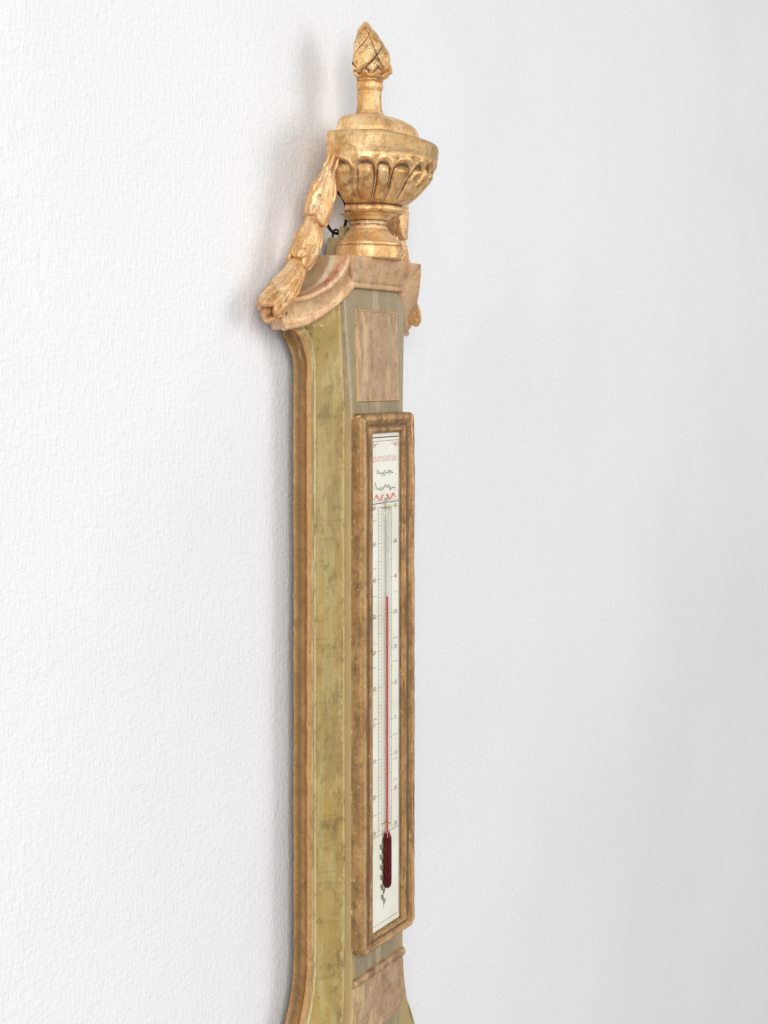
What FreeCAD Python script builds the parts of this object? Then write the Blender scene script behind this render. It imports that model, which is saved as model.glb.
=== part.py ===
# Carved and painted wall barometer with a long spirit thermometer.
# Millimetres. X to the right, +Y into the wall, +Z up. The origin is on the
# wall, at the height of the dial's axis. Depths D are measured out from the
# wall, so a point at depth D lies at Y = -D.
import FreeCAD
import Part
import math
import os

# ---- the case, seen from the front ----
shaft_half = 56.0          # half the width of the shaft at the wall
dial_case_r = 120.0        # round lower case
case_slope = 25.0          # degrees the sides lean out between shaft and round case
fillet_r = 76.0            # hollow curve at the foot of the shaft
pilaster_fillet_r = 135.0  # the same, along the pilaster's edge
flare_z = 586.0            # where the side mouldings begin to turn outwards
flare_r = 30.0
flare_turn = 62.0          # degrees the moulding turns before the cornice
cornice_low_z = 642.5
cornice_top_z = 664.0
pendant_low_z = -214.0
pendant_half = 46.0

# ---- the case, in depth ----
board_t = 6.0
moulding_w = 4.3           # seen from the front
field_drop = 0.5           # the field's outer edge lies this far behind the moulding
field_inner_d = 29.0       # the canted field's inner edge
field_w = 15.7
field_w_low = 25.7         # the field on the round case
pilaster_flare = 7.0       # the pilaster widens this much each side at its head
pilaster_flare_z = 556.0
glue_gap = 0.25            # glue line between moulding and field
pilaster_t = 6.0
pendant_d = 26.0

# ---- cornice ----
cornice_tuck = 2.6         # the pilaster's edge passes this far behind the cornice's
cornice_splay = 17.6       # how much wider the cornice is at its top
cornice_d_top = 41.7
cornice_d_low = 35.2
wing_out_top = 38.0        # how far the wing runs outwards, top and low edge
wing_out_low = 50.0
wing_fall_top = 30.5
wing_fall_low = 30.0
wing_end_d_top = 14.0
wing_end_d_low = 12.0
wing_bow_top = 0.9         # 1 falls as a quarter ellipse, less falls straighter
wing_bow_low = 0.6

# ---- urn ----
urn_d = 26.8               # depth of the urn's axis
urn_back = 3.5             # wood left behind the axis
foot_back = 13.5
foot_r = 25.2
foot_h = 32.0
stem_r = 12.8
urn_ring_r = 25.6
bowl_r = 49.8
bowl_h = 53.0
lid_r = 36.5
lid_h = 41.0
flame_r = 15.5
flame_h = 43.4
tenon_r = 3.0
tenon_gap = 0.1

# ---- hanging ----
tab_half_top = 10.0
tab_half_low = 14.0
tab_h = 24.0
tab_d = 13.0
tab_step_d = 9.0
tab_tongue = 20.0
ring_r = 14.8
ring_wire_r = 1.15
ring_d = 4.2
ring_x = -7.0              # staple and ring sit left of the middle
ring_lift = 19.7           # pivot above the cornice top
staple_wire_r = 0.8
staple_gap = 0.65

# ---- thermometer ----
frame_half = 38.4
frame_x = 2.0              # the frame sits this far right of the middle
frame_low_z = 182.7
frame_top_z = 555.8
frame_d = 8.6              # how far the rails stand off the pilaster
rail_side = 17.7
rail_top = 14.2
rail_low = 10.0
frame_corner_r = 6.0
scale_board_t = 4.2
paper_t = 0.3
frame_fit = 0.2            # scale board inside the rails
stem_glass_r = 1.8
stem_bore_r = 0.5
stem_top_z = 496.0
bulb_glass_r = 3.25
bulb_wall = 0.5
bulb_low_z = 220.0
bulb_h = 39.0
spirit_top_z = 426.0
tie_low_z = 266.0
tie_top_z = 488.8
tie_w = 1.2
tie_t = 0.5

# ---- panels on the pilaster ----
panel_t = 1.4
panel_half = 28.9
upper_panel_low_z = 563.7
upper_panel_top_z = 628.4
lower_panel_top_z = 166.3
lower_panel_corner_z = 130.6
lower_panel_low_z = 121.0
panel_clip = 13.0
panel_margin = 1.0

# ---- dial ----
dial_open_r = 70.0
dial_frame_out_r = 88.0
dial_frame_in_r = 66.0
dial_frame_d = 7.0
dial_plate_r = 76.0
dial_plate_t = 2.0
glass_t = 2.0
glass_fit = 0.15
spacer_w = 3.0
bead_ring_r = 74.0
bead_r = 2.0
hand_t = 0.8
hand_len = 56.0
hand_tail = 20.0
set_hand_len = 52.0
arbor_r = 1.0
running_gap = 0.04
pulley_r = 6.5
pulley_t = 2.4
bearing_t = 2.5
bearing_r = 6.0
bush_r = 3.6
set_spindle_r = 1.2
knob_r = 5.0
knob_l = 7.0

# ---- barometer tube ----
tube_r = 3.7
tube_bore_r = 2.7
limb_gap = 15.5            # between the two limbs, axis to axis
tube_top_z = 636.0
tube_bend_z = -174.0
short_limb_top_z = -112.0
mercury_low_z = -150.0     # level in the short limb
mercury_height = 757.0
meniscus_rest = 18.0       # column either side of the mid level that moves
slot_gap = 0.7             # room round the tube in its slot
tube_clear = 0.3           # tube in front of the back board
slot_cover = 0.6           # wood left in front of the slot at the foot of the case
float_r = 2.2
float_h = 8.0
weight_r = 2.0
weight_h = 7.0
weight_z = -60.0
thread_r = 0.15
strap_t = 1.0
strap_h = 8.0
strap_low_z = 60.0
strap_top_z = 560.0
screw_r = 1.2
screw_head_r = 2.4
screw_head_t = 1.0
screw_l = 5.0

# ---- swags ----
swag_r = 8.0
swag_tier_count = 5

# ---- sizes that follow from the ones above ----
pulley_d = board_t + tube_clear + tube_r
moulding_d = pulley_d + tube_r + slot_gap + slot_cover
field_outer_d = moulding_d - field_drop
pilaster_half = shaft_half - moulding_w - field_w
pilaster_case_r = dial_case_r - moulding_w - field_w_low
slope = math.radians(case_slope)
cornice_half_low = pilaster_half - cornice_tuck
cornice_half_top = cornice_half_low + cornice_splay
front_d = field_inner_d + pilaster_t
flare_x = shaft_half + flare_r
axis_z = tube_bend_z
short_x = pulley_r
long_x = pulley_r + limb_gap
pivot_z = cornice_top_z + ring_lift
stem_d = front_d + scale_board_t + paper_t + stem_glass_r


def at(x, d, z):
    return FreeCAD.Vector(x, -d, z)


def box(x0, x1, d0, d1, z0, z1):
    return Part.makeBox(x1 - x0, d1 - d0, z1 - z0, at(x0, d1, z0))


def rod(radius, x, d, z0, z1):
    return Part.makeCylinder(radius, z1 - z0, at(x, d, z0), FreeCAD.Vector(0, 0, 1))


def pin(radius, x, z, d0, d1):
    return Part.makeCylinder(radius, d1 - d0, at(x, d0, z), FreeCAD.Vector(0, -1, 0))


def prism(points, d0, d1):
    # an outline given as (x, z) pairs, made solid between two depths
    corners = [at(x, d0, z) for x, z in points]
    face = Part.Face(Part.makePolygon(corners + [corners[0]]))
    return face.extrude(FreeCAD.Vector(0, -(d1 - d0), 0))


def mirrored(shape):
    return shape.mirror(FreeCAD.Vector(0, 0, 0), FreeCAD.Vector(1, 0, 0))


def one_solid(shape):
    # the largest solid of a cut, with its seams cleaned up
    solids = sorted(shape.Solids, key=lambda s: s.Volume)
    return solids[-1].removeSplitter()


def fused(shapes):
    whole = shapes[0].multiFuse(shapes[1:])
    return one_solid(whole)


# ---------------------------------------------------------------- case
# A side line of the case is (half width of the shaft, radius of the round
# case, radius of the hollow): an arc from the foot, a straight lean, a hollow
# arc and the straight shaft, each tangent to the next.
def case_line(inset):
    return shaft_half - inset, dial_case_r - inset, fillet_r + inset


def pilaster_line(inset):
    return pilaster_half - inset, pilaster_case_r - inset, pilaster_fillet_r + inset


def corner_reach(line):
    # height where lean and shaft would meet, and how far the hollow reaches
    half, r, hollow = line
    return (r - half * math.cos(slope)) / math.sin(slope), hollow * math.tan(slope / 2)


def on_line(line, part, share):
    # (x, z) on one part of a side line: 0 arc, 1 lean, 2 hollow
    half, r, hollow = line
    corner_z, reach = corner_reach(line)
    if part == 0:
        turn = (math.pi / 2 + slope) * share
        return r * math.sin(turn), -r * math.cos(turn)
    if part == 1:
        x0, z0 = on_line(line, 0, 1.0)
        x1, z1 = on_line(line, 2, 0.0)
        return x0 + (x1 - x0) * share, z0 + (z1 - z0) * share
    turn = slope * (1 - share)
    return half + hollow * (1 - math.cos(turn)), corner_z + reach - hollow * math.sin(turn)


def half_edges(line, top_z):
    # right-hand half of an outline
    def point(part, share):
        x, z = on_line(line, part, share)
        return at(x, 0, z)

    top = at(line[0], 0, top_z)
    return [Part.Arc(point(0, 0), point(0, 0.5), point(0, 1)).toShape(),
            Part.makeLine(point(0, 1), point(2, 0)),
            Part.Arc(point(2, 0), point(2, 0.5), point(2, 1)).toShape(),
            Part.makeLine(point(2, 1), top)], top


def case_plate(line, top_z, d0, d1):
    edges, top = half_edges(line, top_z)
    other = [mirrored(edge) for edge in edges]
    lid = Part.makeLine(top, at(-top.x, 0, top.z))
    wire = Part.Wire(Part.__sortEdges__(edges + [lid] + other))
    plate = Part.Face(wire).extrude(FreeCAD.Vector(0, -(d1 - d0), 0))
    plate.translate(at(0, d0, 0))
    return plate


def edge_run(section):
    # a moulding that follows the right-hand edge of the case and turns out
    # into an ear; the section is given as (inset, depth) pairs
    def face(origin_x, origin_z, reach):
        corners = [at(origin_x + reach(i), d, origin_z) for i, d in section]
        return Part.Face(Part.makePolygon(corners + [corners[0]]))

    centre = FreeCAD.Vector(0, 0, 0)
    forward = FreeCAD.Vector(0, -1, 0)
    corner_z, reach = corner_reach(case_line(0))
    hollow_x = shaft_half + fillet_r
    hollow_z = corner_z + reach
    ring = face(0, 0, lambda i: dial_case_r - i)
    ring.rotate(centre, FreeCAD.Vector(0, 1, 0), 90)
    pieces = [ring.revolve(centre, forward, 90.0 + case_slope)]
    lean = face(0, 0, lambda i: dial_case_r - i)
    lean.rotate(centre, FreeCAD.Vector(0, 1, 0), -case_slope)
    x0, z0 = on_line(case_line(0), 0, 1.0)
    x1, z1 = on_line(case_line(0), 2, 0.0)
    pieces.append(lean.extrude(FreeCAD.Vector(x1 - x0, 0, z1 - z0)))
    hollow = face(hollow_x, hollow_z, lambda i: -(fillet_r + i))
    pieces.append(hollow.revolve(at(hollow_x, 0, hollow_z), forward, case_slope))
    shaft = face(0, hollow_z, lambda i: shaft_half - i)
    pieces.append(shaft.extrude(FreeCAD.Vector(0, 0, flare_z - hollow_z)))
    ear = face(flare_x, flare_z, lambda i: -(flare_r + i))
    pieces.append(ear.revolve(at(flare_x, 0, flare_z), FreeCAD.Vector(0, 1, 0), flare_turn))
    return fused(pieces)


def head_spread(z):
    # how much wider the pilaster is at a height near its head
    rise = (z - pilaster_flare_z) / (cornice_low_z - pilaster_flare_z)
    return pilaster_flare * max(0.0, rise)


def field_stations():
    # pairs of (x, z) points along the field's outer and inner edge
    outer = case_line(moulding_w + glue_gap)
    inner = pilaster_line(0)
    pairs = [(on_line(outer, 0, k / 46.0), on_line(inner, 0, k / 46.0)) for k in range(47)]
    pairs += [(on_line(outer, 2, k / 8.0), on_line(inner, 2, k / 8.0)) for k in range(9)]
    pairs.append(((outer[0], pilaster_flare_z), (inner[0], pilaster_flare_z)))
    reach = flare_r + moulding_w + glue_gap
    for step in range(25):
        turn = math.radians(flare_turn * step / 24.0)
        x = flare_x - reach * math.cos(turn)
        z = flare_z + reach * math.sin(turn)
        pairs.append(((x, z), (inner[0] + head_spread(z), z)))
    pairs.append(((x, cornice_low_z), (inner[0] + head_spread(cornice_low_z), cornice_low_z)))
    return pairs


def field_section(outer, inner):
    # canted face from the moulding up to the pilaster, hollow behind
    length = math.hypot(inner[0] - outer[0], inner[1] - outer[1])
    ux = (inner[0] - outer[0]) / length
    uz = (inner[1] - outer[1]) / length

    def corner(point, shift, d):
        return at(point[0] + ux * shift, d, point[1] + uz * shift)

    corners = [corner(outer, 0, board_t), corner(outer, 0, field_outer_d),
               corner(inner, 0, field_inner_d), corner(inner, 4, field_inner_d),
               corner(inner, 4, field_inner_d - 6), corner(inner, -8, 12),
               corner(inner, -8, board_t)]
    return Part.makePolygon(corners + [corners[0]])


def tube_slot():
    side = tube_r + slot_gap
    low = tube_bend_z - limb_gap / 2 - tube_r - 2
    return box(short_x - side, long_x + side, board_t, pulley_d + side, low, 0)


def pendant_outline():
    # (x, z) pairs: tapering apron under the round case
    inner_z = -math.sqrt(dial_case_r ** 2 - pendant_half ** 2)
    right = []
    for step in range(13):
        t = step / 12.0
        half = pendant_half * (1 - t) ** 1.6 + 16.0 * math.sin(math.pi * t) ** 1.0 * t + 13.0 * t
        right.append((half, inner_z + (pendant_low_z - inner_z) * t))
    left = [(-x, z) for x, z in reversed(right)]
    return right + left


def round_case(radius, d0, d1):
    return pin(radius, 0, 0, d0, d1)


def make_back_board(tab):
    plate = case_plate(case_line(moulding_w), flare_z, 0, board_t)
    shoulder = shaft_half - moulding_w
    neck = cornice_half_low - 0.4
    head = prism([(-shoulder, flare_z), (shoulder, flare_z), (shoulder + 8, flare_z + 22),
                  (neck, flare_z + 26), (neck, cornice_top_z), (-neck, cornice_top_z),
                  (-neck, flare_z + 26), (-shoulder - 8, flare_z + 22)], 0, board_t)
    tail = prism(pendant_outline(), 0, board_t).cut(round_case(dial_case_r, 0, board_t))
    tongue_half = pendant_half * 0.6
    tongue = box(-tongue_half, tongue_half, 0, board_t, -dial_case_r - 2, -dial_case_r + 12)
    return fused([plate, head, tail, tongue]).cut(tab)


def make_moulding(wing, board, slotted):
    section = [(0, 0), (0, 4), (1.6, 5.5), (1.6, moulding_d - 4.5), (0.2, moulding_d - 2.8),
               (0.6, moulding_d - 0.6),
               (1.6, moulding_d), (3.4, moulding_d), (moulding_w, field_outer_d), (moulding_w, 0)]
    run = edge_run(section).cut(wing).cut(board)
    return one_solid(run.cut(tube_slot())) if slotted else one_solid(run)


def make_field(wing, slotted):
    sections = [field_section(outer, inner) for outer, inner in field_stations()]
    run = Part.makeLoft(sections, True, True).cut(wing)
    return one_solid(run.cut(tube_slot())) if slotted else one_solid(run)


def make_pilaster(wings):
    plate = case_plate(pilaster_line(0), cornice_low_z, field_inner_d, front_d)
    plate = plate.cut(pin(dial_open_r, 0, 0, field_inner_d, front_d))
    wide = pilaster_half + pilaster_flare
    head = prism([(pilaster_half, pilaster_flare_z), (wide, cornice_low_z),
                  (-wide, cornice_low_z), (-pilaster_half, pilaster_flare_z)],
                 field_inner_d, front_d)
    arch = above_wing(field_inner_d - 1, front_d + 1)
    plate = plate.fuse(head).cut(arch).cut(mirrored(arch))
    return one_solid(plate.cut(wings[0]).cut(wings[1]))


def make_pendant():
    block = prism(pendant_outline(), board_t, pendant_d)
    block = block.cut(round_case(dial_case_r, board_t, pendant_d))
    return one_solid(block.cut(tube_slot()))


def make_pendant_drop():
    # turned berry under the apron, flat against the wall
    r = 9.0
    ball = Part.makeSphere(r, at(0, pendant_d / 2, pendant_low_z - 5.0))
    ball = ball.common(box(-r, r, 0, pendant_d, pendant_low_z - 2 * r, pendant_low_z))
    return one_solid(ball)


def make_crest_leaf():
    # leaf carved over the joint between round case and apron, its top against
    # the dial's frame
    low = -dial_case_r
    top = -dial_frame_out_r
    outline = [(-30, low + 3), (-18, top - 6), (0, top + 2), (18, top - 6), (30, low + 3),
               (16, low - 10), (0, low - 18), (-16, low - 10)]
    return prism(outline, moulding_d, front_d + 3.0)


# ---------------------------------------------------------------- cornice
def wing_point(turn, half, z, d, out, fall, end_d, bow):
    # straight in plan from the front corner to its end; in height a hollow
    # curve, steep at the corner and level at the end
    share = (1 - math.cos(turn)) ** bow
    return half + out * share, d - (d - end_d) * share, z - fall * math.sin(turn)


def above_wing(d0, d1):
    # everything above the wing's lower edge, seen from the front
    edge = []
    for step in range(9):
        x, _, z = wing_point(math.radians(90.0 * step / 8.0), cornice_half_low, cornice_low_z,
                             cornice_d_low, wing_out_low, wing_fall_low, wing_end_d_low,
                             wing_bow_low)
        edge.append((x, z))
    end_x = edge[-1][0]
    return prism(edge + [(end_x, cornice_low_z + 30), (cornice_half_low, cornice_low_z + 30)],
                 d0, d1)


def make_wing():
    wires = []
    for step in range(9):
        turn = math.radians(90.0 * step / 8.0)
        xt, dt, zt = wing_point(turn, cornice_half_top, cornice_top_z, cornice_d_top,
                                wing_out_top, wing_fall_top, wing_end_d_top, wing_bow_top)
        xb, db, zb = wing_point(turn, cornice_half_low, cornice_low_z, cornice_d_low,
                                wing_out_low, wing_fall_low, wing_end_d_low, wing_bow_low)
        corners = [at(xt, dt, zt), at(xb, db, zb), at(xb, 0, zb), at(xt, 0, zt)]
        wires.append(Part.makePolygon(corners + [corners[0]]))
    return Part.makeLoft(wires, True, True)


def make_cornice(tenon_hole):
    low = Part.makePolygon([at(-cornice_half_low, board_t, cornice_low_z),
                            at(cornice_half_low, board_t, cornice_low_z),
                            at(cornice_half_low, cornice_d_low, cornice_low_z),
                            at(-cornice_half_low, cornice_d_low, cornice_low_z),
                            at(-cornice_half_low, board_t, cornice_low_z)])
    high = Part.makePolygon([at(-cornice_half_top, board_t, cornice_top_z),
                             at(cornice_half_top, board_t, cornice_top_z),
                             at(cornice_half_top, cornice_d_top, cornice_top_z),
                             at(-cornice_half_top, cornice_d_top, cornice_top_z),
                             at(-cornice_half_top, board_t, cornice_top_z)])
    block = Part.makeLoft([low, high], True, True)
    return one_solid(block.cut(tenon_hole))


# ---------------------------------------------------------------- urn
def turned(runs):
    # each run is a list of (radius, z): two points make a line, more make a
    # smooth curve; the whole is turned about the urn's axis
    edges = []
    for run in runs:
        points = [at(r, urn_d, z) for r, z in run]
        if len(points) == 2:
            edges.append(Part.makeLine(points[0], points[1]))
        else:
            curve = Part.BSplineCurve()
            curve.interpolate(points)
            edges.append(curve.toShape())
    start = edges[0].Vertexes[0].Point
    end = at(runs[-1][-1][0], urn_d, runs[-1][-1][1])
    begin = at(runs[0][0][0], urn_d, runs[0][0][1])
    if (end - begin).Length > 1e-6:
        edges.append(Part.makeLine(end, begin))
    face = Part.Face(Part.Wire(Part.__sortEdges__(edges)))
    return face.revolve(at(0, urn_d, 0), FreeCAD.Vector(0, 0, 1), 360)


def flat_backed(shape, back):
    keep = box(-200, 200, urn_d - back, urn_d + 200, cornice_top_z - 50, cornice_top_z + 300)
    return one_solid(shape.common(keep))


def tenon(z_shoulder, length):
    return rod(tenon_r, 0, urn_d, z_shoulder - length, z_shoulder)


def tenon_hole(z_shoulder, length):
    return rod(tenon_r + tenon_gap, 0, urn_d, z_shoulder - length - 0.5, z_shoulder)


def make_urn_foot():
    z0 = cornice_top_z
    z1 = z0 + foot_h
    body = turned([[(0, z0), (foot_r, z0)], [(foot_r, z0), (foot_r, z0 + 9)],
                   [(foot_r, z0 + 9), (foot_r - 3, z0 + 12)],
                   [(foot_r - 3, z0 + 12), (stem_r + 4, z0 + 17), (stem_r, z0 + 24),
                    (stem_r + 4, z1 - 3), (stem_r + 8, z1)],
                   [(stem_r + 8, z1), (0, z1)]])
    body = flat_backed(body, foot_back)
    hole = tenon_hole(z1, 8)
    return one_solid(body.cut(hole).fuse(tenon(z0, 10)))


def make_urn_bowl():
    z0 = cornice_top_z + foot_h
    z1 = z0 + bowl_h
    lip = z1 - 15
    body = turned([[(0, z0), (urn_ring_r - 1, z0)],
                   [(urn_ring_r - 1, z0), (urn_ring_r, z0 + 2.8), (urn_ring_r - 2, z0 + 5.6)],
                   [(urn_ring_r - 2, z0 + 5.6), (bowl_r - 16, z0 + 13), (bowl_r - 6, z0 + 23),
                    (bowl_r - 0.6, lip)],
                   [(bowl_r - 0.6, lip), (bowl_r, z1 - 8), (bowl_r - 0.6, z1)],
                   [(bowl_r - 0.6, z1), (0, z1)]])
    body = flat_backed(body, urn_back)
    return one_solid(body.cut(tenon_hole(z1, 8)).fuse(tenon(z0, 8)))


def make_urn_lid():
    z0 = cornice_top_z + foot_h + bowl_h
    z1 = z0 + lid_h
    body = turned([[(0, z0), (lid_r, z0)],
                   [(lid_r, z0), (lid_r - 1, z0 + 7), (lid_r - 5, z0 + 13), (lid_r - 14, z0 + 18),
                    (10.6, z0 + 19.5)],
                   [(10.6, z0 + 19.5), (9.0, z0 + 27), (9.4, z1 - 6.5)],
                   [(9.4, z1 - 6.5), (11, z1 - 4.5), (11, z1 - 1.5), (9.5, z1)],
                   [(9.5, z1), (0, z1)]])
    body = flat_backed(body, urn_back)
    return one_solid(body.cut(tenon_hole(z1, 6)).fuse(tenon(z0, 8)))


def make_flame():
    z0 = cornice_top_z + foot_h + bowl_h + lid_h
    z1 = z0 + flame_h
    body = turned([[(0, z0), (8.5, z0)],
                   [(8.5, z0), (flame_r - 1, z0 + 5), (flame_r, z0 + 11), (flame_r * 0.72, z0 + 22),
                    (flame_r * 0.42, z0 + 32), (1.2, z1 - 1)],
                   [(1.2, z1 - 1), (0, z1)]])
    body = flat_backed(body, urn_back)
    return one_solid(body.fuse(tenon(z0, 6)))


# ---------------------------------------------------------------- hanging
def make_tab():
    z0 = cornice_top_z
    z1 = z0 + tab_h
    wedge = prism([(-tab_half_low, z0), (tab_half_low, z0), (tab_half_top, z1),
                   (-tab_half_top, z1)], 0, tab_d)
    step = box(-20, 20, 0, tab_step_d, pivot_z - 3.2, z1 + 1)
    tongue = box(-tab_half_top, tab_half_top, 0, board_t, z0 - tab_tongue, z0)
    return one_solid(wedge.cut(step).fuse(tongue))


def tab_tongue_space():
    return box(-tab_half_top, tab_half_top, 0, board_t, cornice_top_z - tab_tongue, cornice_top_z)


def make_staple():
    # a wire arch over the ring, both legs driven down into the tab
    bend = ring_wire_r + staple_gap + staple_wire_r
    arch = Part.makeTorus(bend, staple_wire_r, at(ring_x, ring_d, pivot_z), FreeCAD.Vector(1, 0, 0))
    arch = arch.common(box(ring_x - 5, ring_x + 5, -5, 20, pivot_z, pivot_z + 10))
    leg = 10.0
    legs = [rod(staple_wire_r, ring_x, ring_d - bend, pivot_z - leg, pivot_z),
            rod(staple_wire_r, ring_x, ring_d + bend, pivot_z - leg, pivot_z)]
    return fused([arch] + legs)


def make_hanging_ring():
    return Part.makeTorus(ring_r, ring_wire_r, at(ring_x, ring_d, pivot_z + ring_r),
                          FreeCAD.Vector(0, 1, 0))


# ---------------------------------------------------------------- swags
def swag_path():
    # (x, d, z) stations of the garland, from the rim of the urn over the
    # cornice wing to its free end beside the case
    z0 = cornice_top_z + foot_h
    return [(bowl_r + 1.5, urn_d - 1, z0 + 38), (bowl_r + 6, urn_d - 7, z0 + 14),
            (cornice_half_top + 9.3, 14.5, z0 - 8), (cornice_half_top + 15.8, 12.0, z0 - 31),
            (cornice_half_top + 27.8, 10.5, z0 - 53), (cornice_half_top + 40.8, 9.5, z0 - 67),
            (cornice_half_top + 53.8, 8.5, z0 - 77)]


def make_swag(neighbours):
    # each tier of leaves is a cone that opens downwards over the next one
    path = Part.BSplineCurve()
    path.interpolate([at(x, d, z) for x, d, z in swag_path()])
    first = path.FirstParameter
    span = path.LastParameter - first
    tiers = []
    for tier in range(swag_tier_count):
        u0 = first + span * tier / swag_tier_count
        u1 = first + span * min(1.0, (tier + 1.18) / swag_tier_count)
        p0 = path.value(u0)
        p1 = path.value(u1)
        swell = math.sin(math.pi * (tier + 0.9) / (swag_tier_count + 0.6))
        wide = swag_r * (0.62 + 0.38 * swell)
        tiers.append(Part.makeCone(wide * 0.55, wide, (p1 - p0).Length, p0, p1 - p0))
    whole = fused(tiers)
    keep = box(0, 300, 0.3, 200, 400, 900)
    whole = whole.common(keep)
    for other in neighbours:
        whole = whole.cut(other)
    return one_solid(whole)


# ---------------------------------------------------------------- thermometer
def rail_section(width):
    # (distance in from the outer edge, height above the pilaster)
    return [(0, 0), (0, frame_d - 1.8), (1.8, frame_d - 0.2), (4.5, frame_d),
            (width * 0.62, frame_d - 1.8), (width * 0.72, frame_d - 3.0),
            (width, frame_d - 3.2), (width, 0)]


def frame_corners():
    # rounded outer corners of the whole frame
    whole = box(-frame_half, frame_half, front_d, front_d + frame_d, frame_low_z, frame_top_z)
    edges = [e for e in whole.Edges if e.BoundBox.YLength > frame_d - 0.1]
    return whole.makeFillet(frame_corner_r, edges)


def make_side_rail():
    corners = [at(frame_half - i, front_d + h, frame_low_z) for i, h in rail_section(rail_side)]
    bar = Part.Face(Part.makePolygon(corners + [corners[0]]))
    bar = bar.extrude(FreeCAD.Vector(0, 0, frame_top_z - frame_low_z))
    mitre = prism([(frame_half, frame_low_z), (frame_half, frame_top_z),
                   (frame_half - rail_side, frame_top_z - rail_top),
                   (frame_half - rail_side, frame_low_z + rail_low)], front_d, front_d + frame_d)
    return one_solid(bar.common(mitre).common(frame_corners()))


def make_end_rail(outer_z, width, inward):
    corners = [at(-frame_half, front_d + h, outer_z + inward * i) for i, h in rail_section(width)]
    bar = Part.Face(Part.makePolygon(corners + [corners[0]]))
    bar = bar.extrude(FreeCAD.Vector(2 * frame_half, 0, 0))
    inner = frame_half - rail_side
    mitre = prism([(-frame_half, outer_z), (frame_half, outer_z),
                   (inner, outer_z + inward * width), (-inner, outer_z + inward * width)],
                  front_d, front_d + frame_d)
    return one_solid(bar.common(mitre).common(frame_corners()))


def window(d0, d1, gap):
    half = frame_half - rail_side - gap
    return box(-half, half, d0, d1, frame_low_z + rail_low + gap, frame_top_z - rail_top - gap)


def bulb_recess():
    return bulb_shape(bulb_glass_r + 0.3)


def bulb_shape(radius):
    inset = bulb_glass_r - radius
    low = bulb_low_z + radius + inset
    high = bulb_low_z + bulb_h - radius - inset
    return fused([rod(radius, 0, stem_d, low, high),
                  Part.makeSphere(radius, at(0, stem_d, low)),
                  Part.makeSphere(radius, at(0, stem_d, high))])


def make_scale_board(ties):
    board = window(front_d, front_d + scale_board_t, frame_fit).cut(bulb_recess())
    for tie in ties:
        board = board.cut(tie)
    return one_solid(board)


def make_scale_paper(ties):
    d0 = front_d + scale_board_t
    paper = window(d0, d0 + paper_t, frame_fit).cut(bulb_recess())
    for tie in ties:
        paper = paper.cut(tie)
    return one_solid(paper)


def make_thermometer_glass():
    foot = bulb_low_z + bulb_h - bulb_glass_r
    stem = rod(stem_glass_r, 0, stem_d, foot, stem_top_z)
    solid = fused([bulb_shape(bulb_glass_r), stem])
    bore = rod(stem_bore_r, 0, stem_d, foot, stem_top_z - 2)
    return one_solid(solid.cut(bulb_shape(bulb_glass_r - bulb_wall)).cut(bore))


def make_thermometer_spirit():
    bulb = bulb_shape(bulb_glass_r - bulb_wall)
    column = rod(stem_bore_r, 0, stem_d, bulb_low_z + bulb_h - bulb_glass_r, spirit_top_z)
    return fused([bulb, column])


def make_stem_tie(z):
    # flat brass staple over the stem, its legs pushed through the scale board
    inner = stem_glass_r + 0.05
    ring = pin_ring(inner, z)
    leg_out = inner + tie_t
    legs = [box(inner, leg_out, front_d, stem_d, z - tie_w / 2, z + tie_w / 2),
            box(-leg_out, -inner, front_d, stem_d, z - tie_w / 2, z + tie_w / 2)]
    return fused([ring] + legs)


def pin_ring(inner, z):
    outer = rod(inner + tie_t, 0, stem_d, z - tie_w / 2, z + tie_w / 2)
    ring = outer.cut(rod(inner, 0, stem_d, z - tie_w, z + tie_w))
    return ring.common(box(-10, 10, stem_d, stem_d + 10, z - 5, z + 5))


# ---------------------------------------------------------------- panels
def make_upper_panel():
    return box(-panel_half, panel_half, front_d, front_d + panel_t, upper_panel_low_z,
               upper_panel_top_z)


def panel_edge_x(z):
    # the pilaster's edge, less the margin
    line = pilaster_line(panel_margin)
    corner_z, reach = corner_reach(line)
    drop = min(max(0.0, corner_z + reach - z), line[2] * math.sin(slope))
    return line[0] + line[2] - math.sqrt(line[2] ** 2 - drop ** 2)


def make_lower_panel():
    right = []
    for step in range(7):
        z = lower_panel_top_z + (lower_panel_corner_z - lower_panel_top_z) * step / 6.0
        right.append((panel_edge_x(z), z))
    right.append((right[-1][0] - panel_clip, lower_panel_low_z))
    left = [(-x, z) for x, z in reversed(right)]
    return prism(right + left, front_d, front_d + panel_t)


# ---------------------------------------------------------------- dial
def disc(outer, inner, d0, d1):
    whole = pin(outer, 0, 0, d0, d1)
    if inner > 0:
        whole = whole.cut(pin(inner, 0, 0, d0 - 1, d1 + 1))
    return whole


def make_dial_frame():
    low = front_d
    high = front_d + dial_frame_d
    section = [(dial_frame_in_r, low), (dial_frame_in_r, low + 2.5),
               (dial_frame_in_r + 4, low + 4.0), (bead_ring_r - 3.0, low + 4.0),
               (bead_ring_r + 3.0, low + 4.0), (bead_ring_r + 4.5, high - 0.5),
               (bead_ring_r + 9, high), (dial_frame_out_r - 6, high - 1.5),
               (dial_frame_out_r - 2, low + 3.0), (dial_frame_out_r, low + 2.0),
               (dial_frame_out_r, low)]
    corners = [at(r, d, 0) for r, d in section]
    face = Part.Face(Part.makePolygon(corners + [corners[0]]))
    return face.revolve(FreeCAD.Vector(0, 0, 0), FreeCAD.Vector(0, 1, 0), 360)


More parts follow.
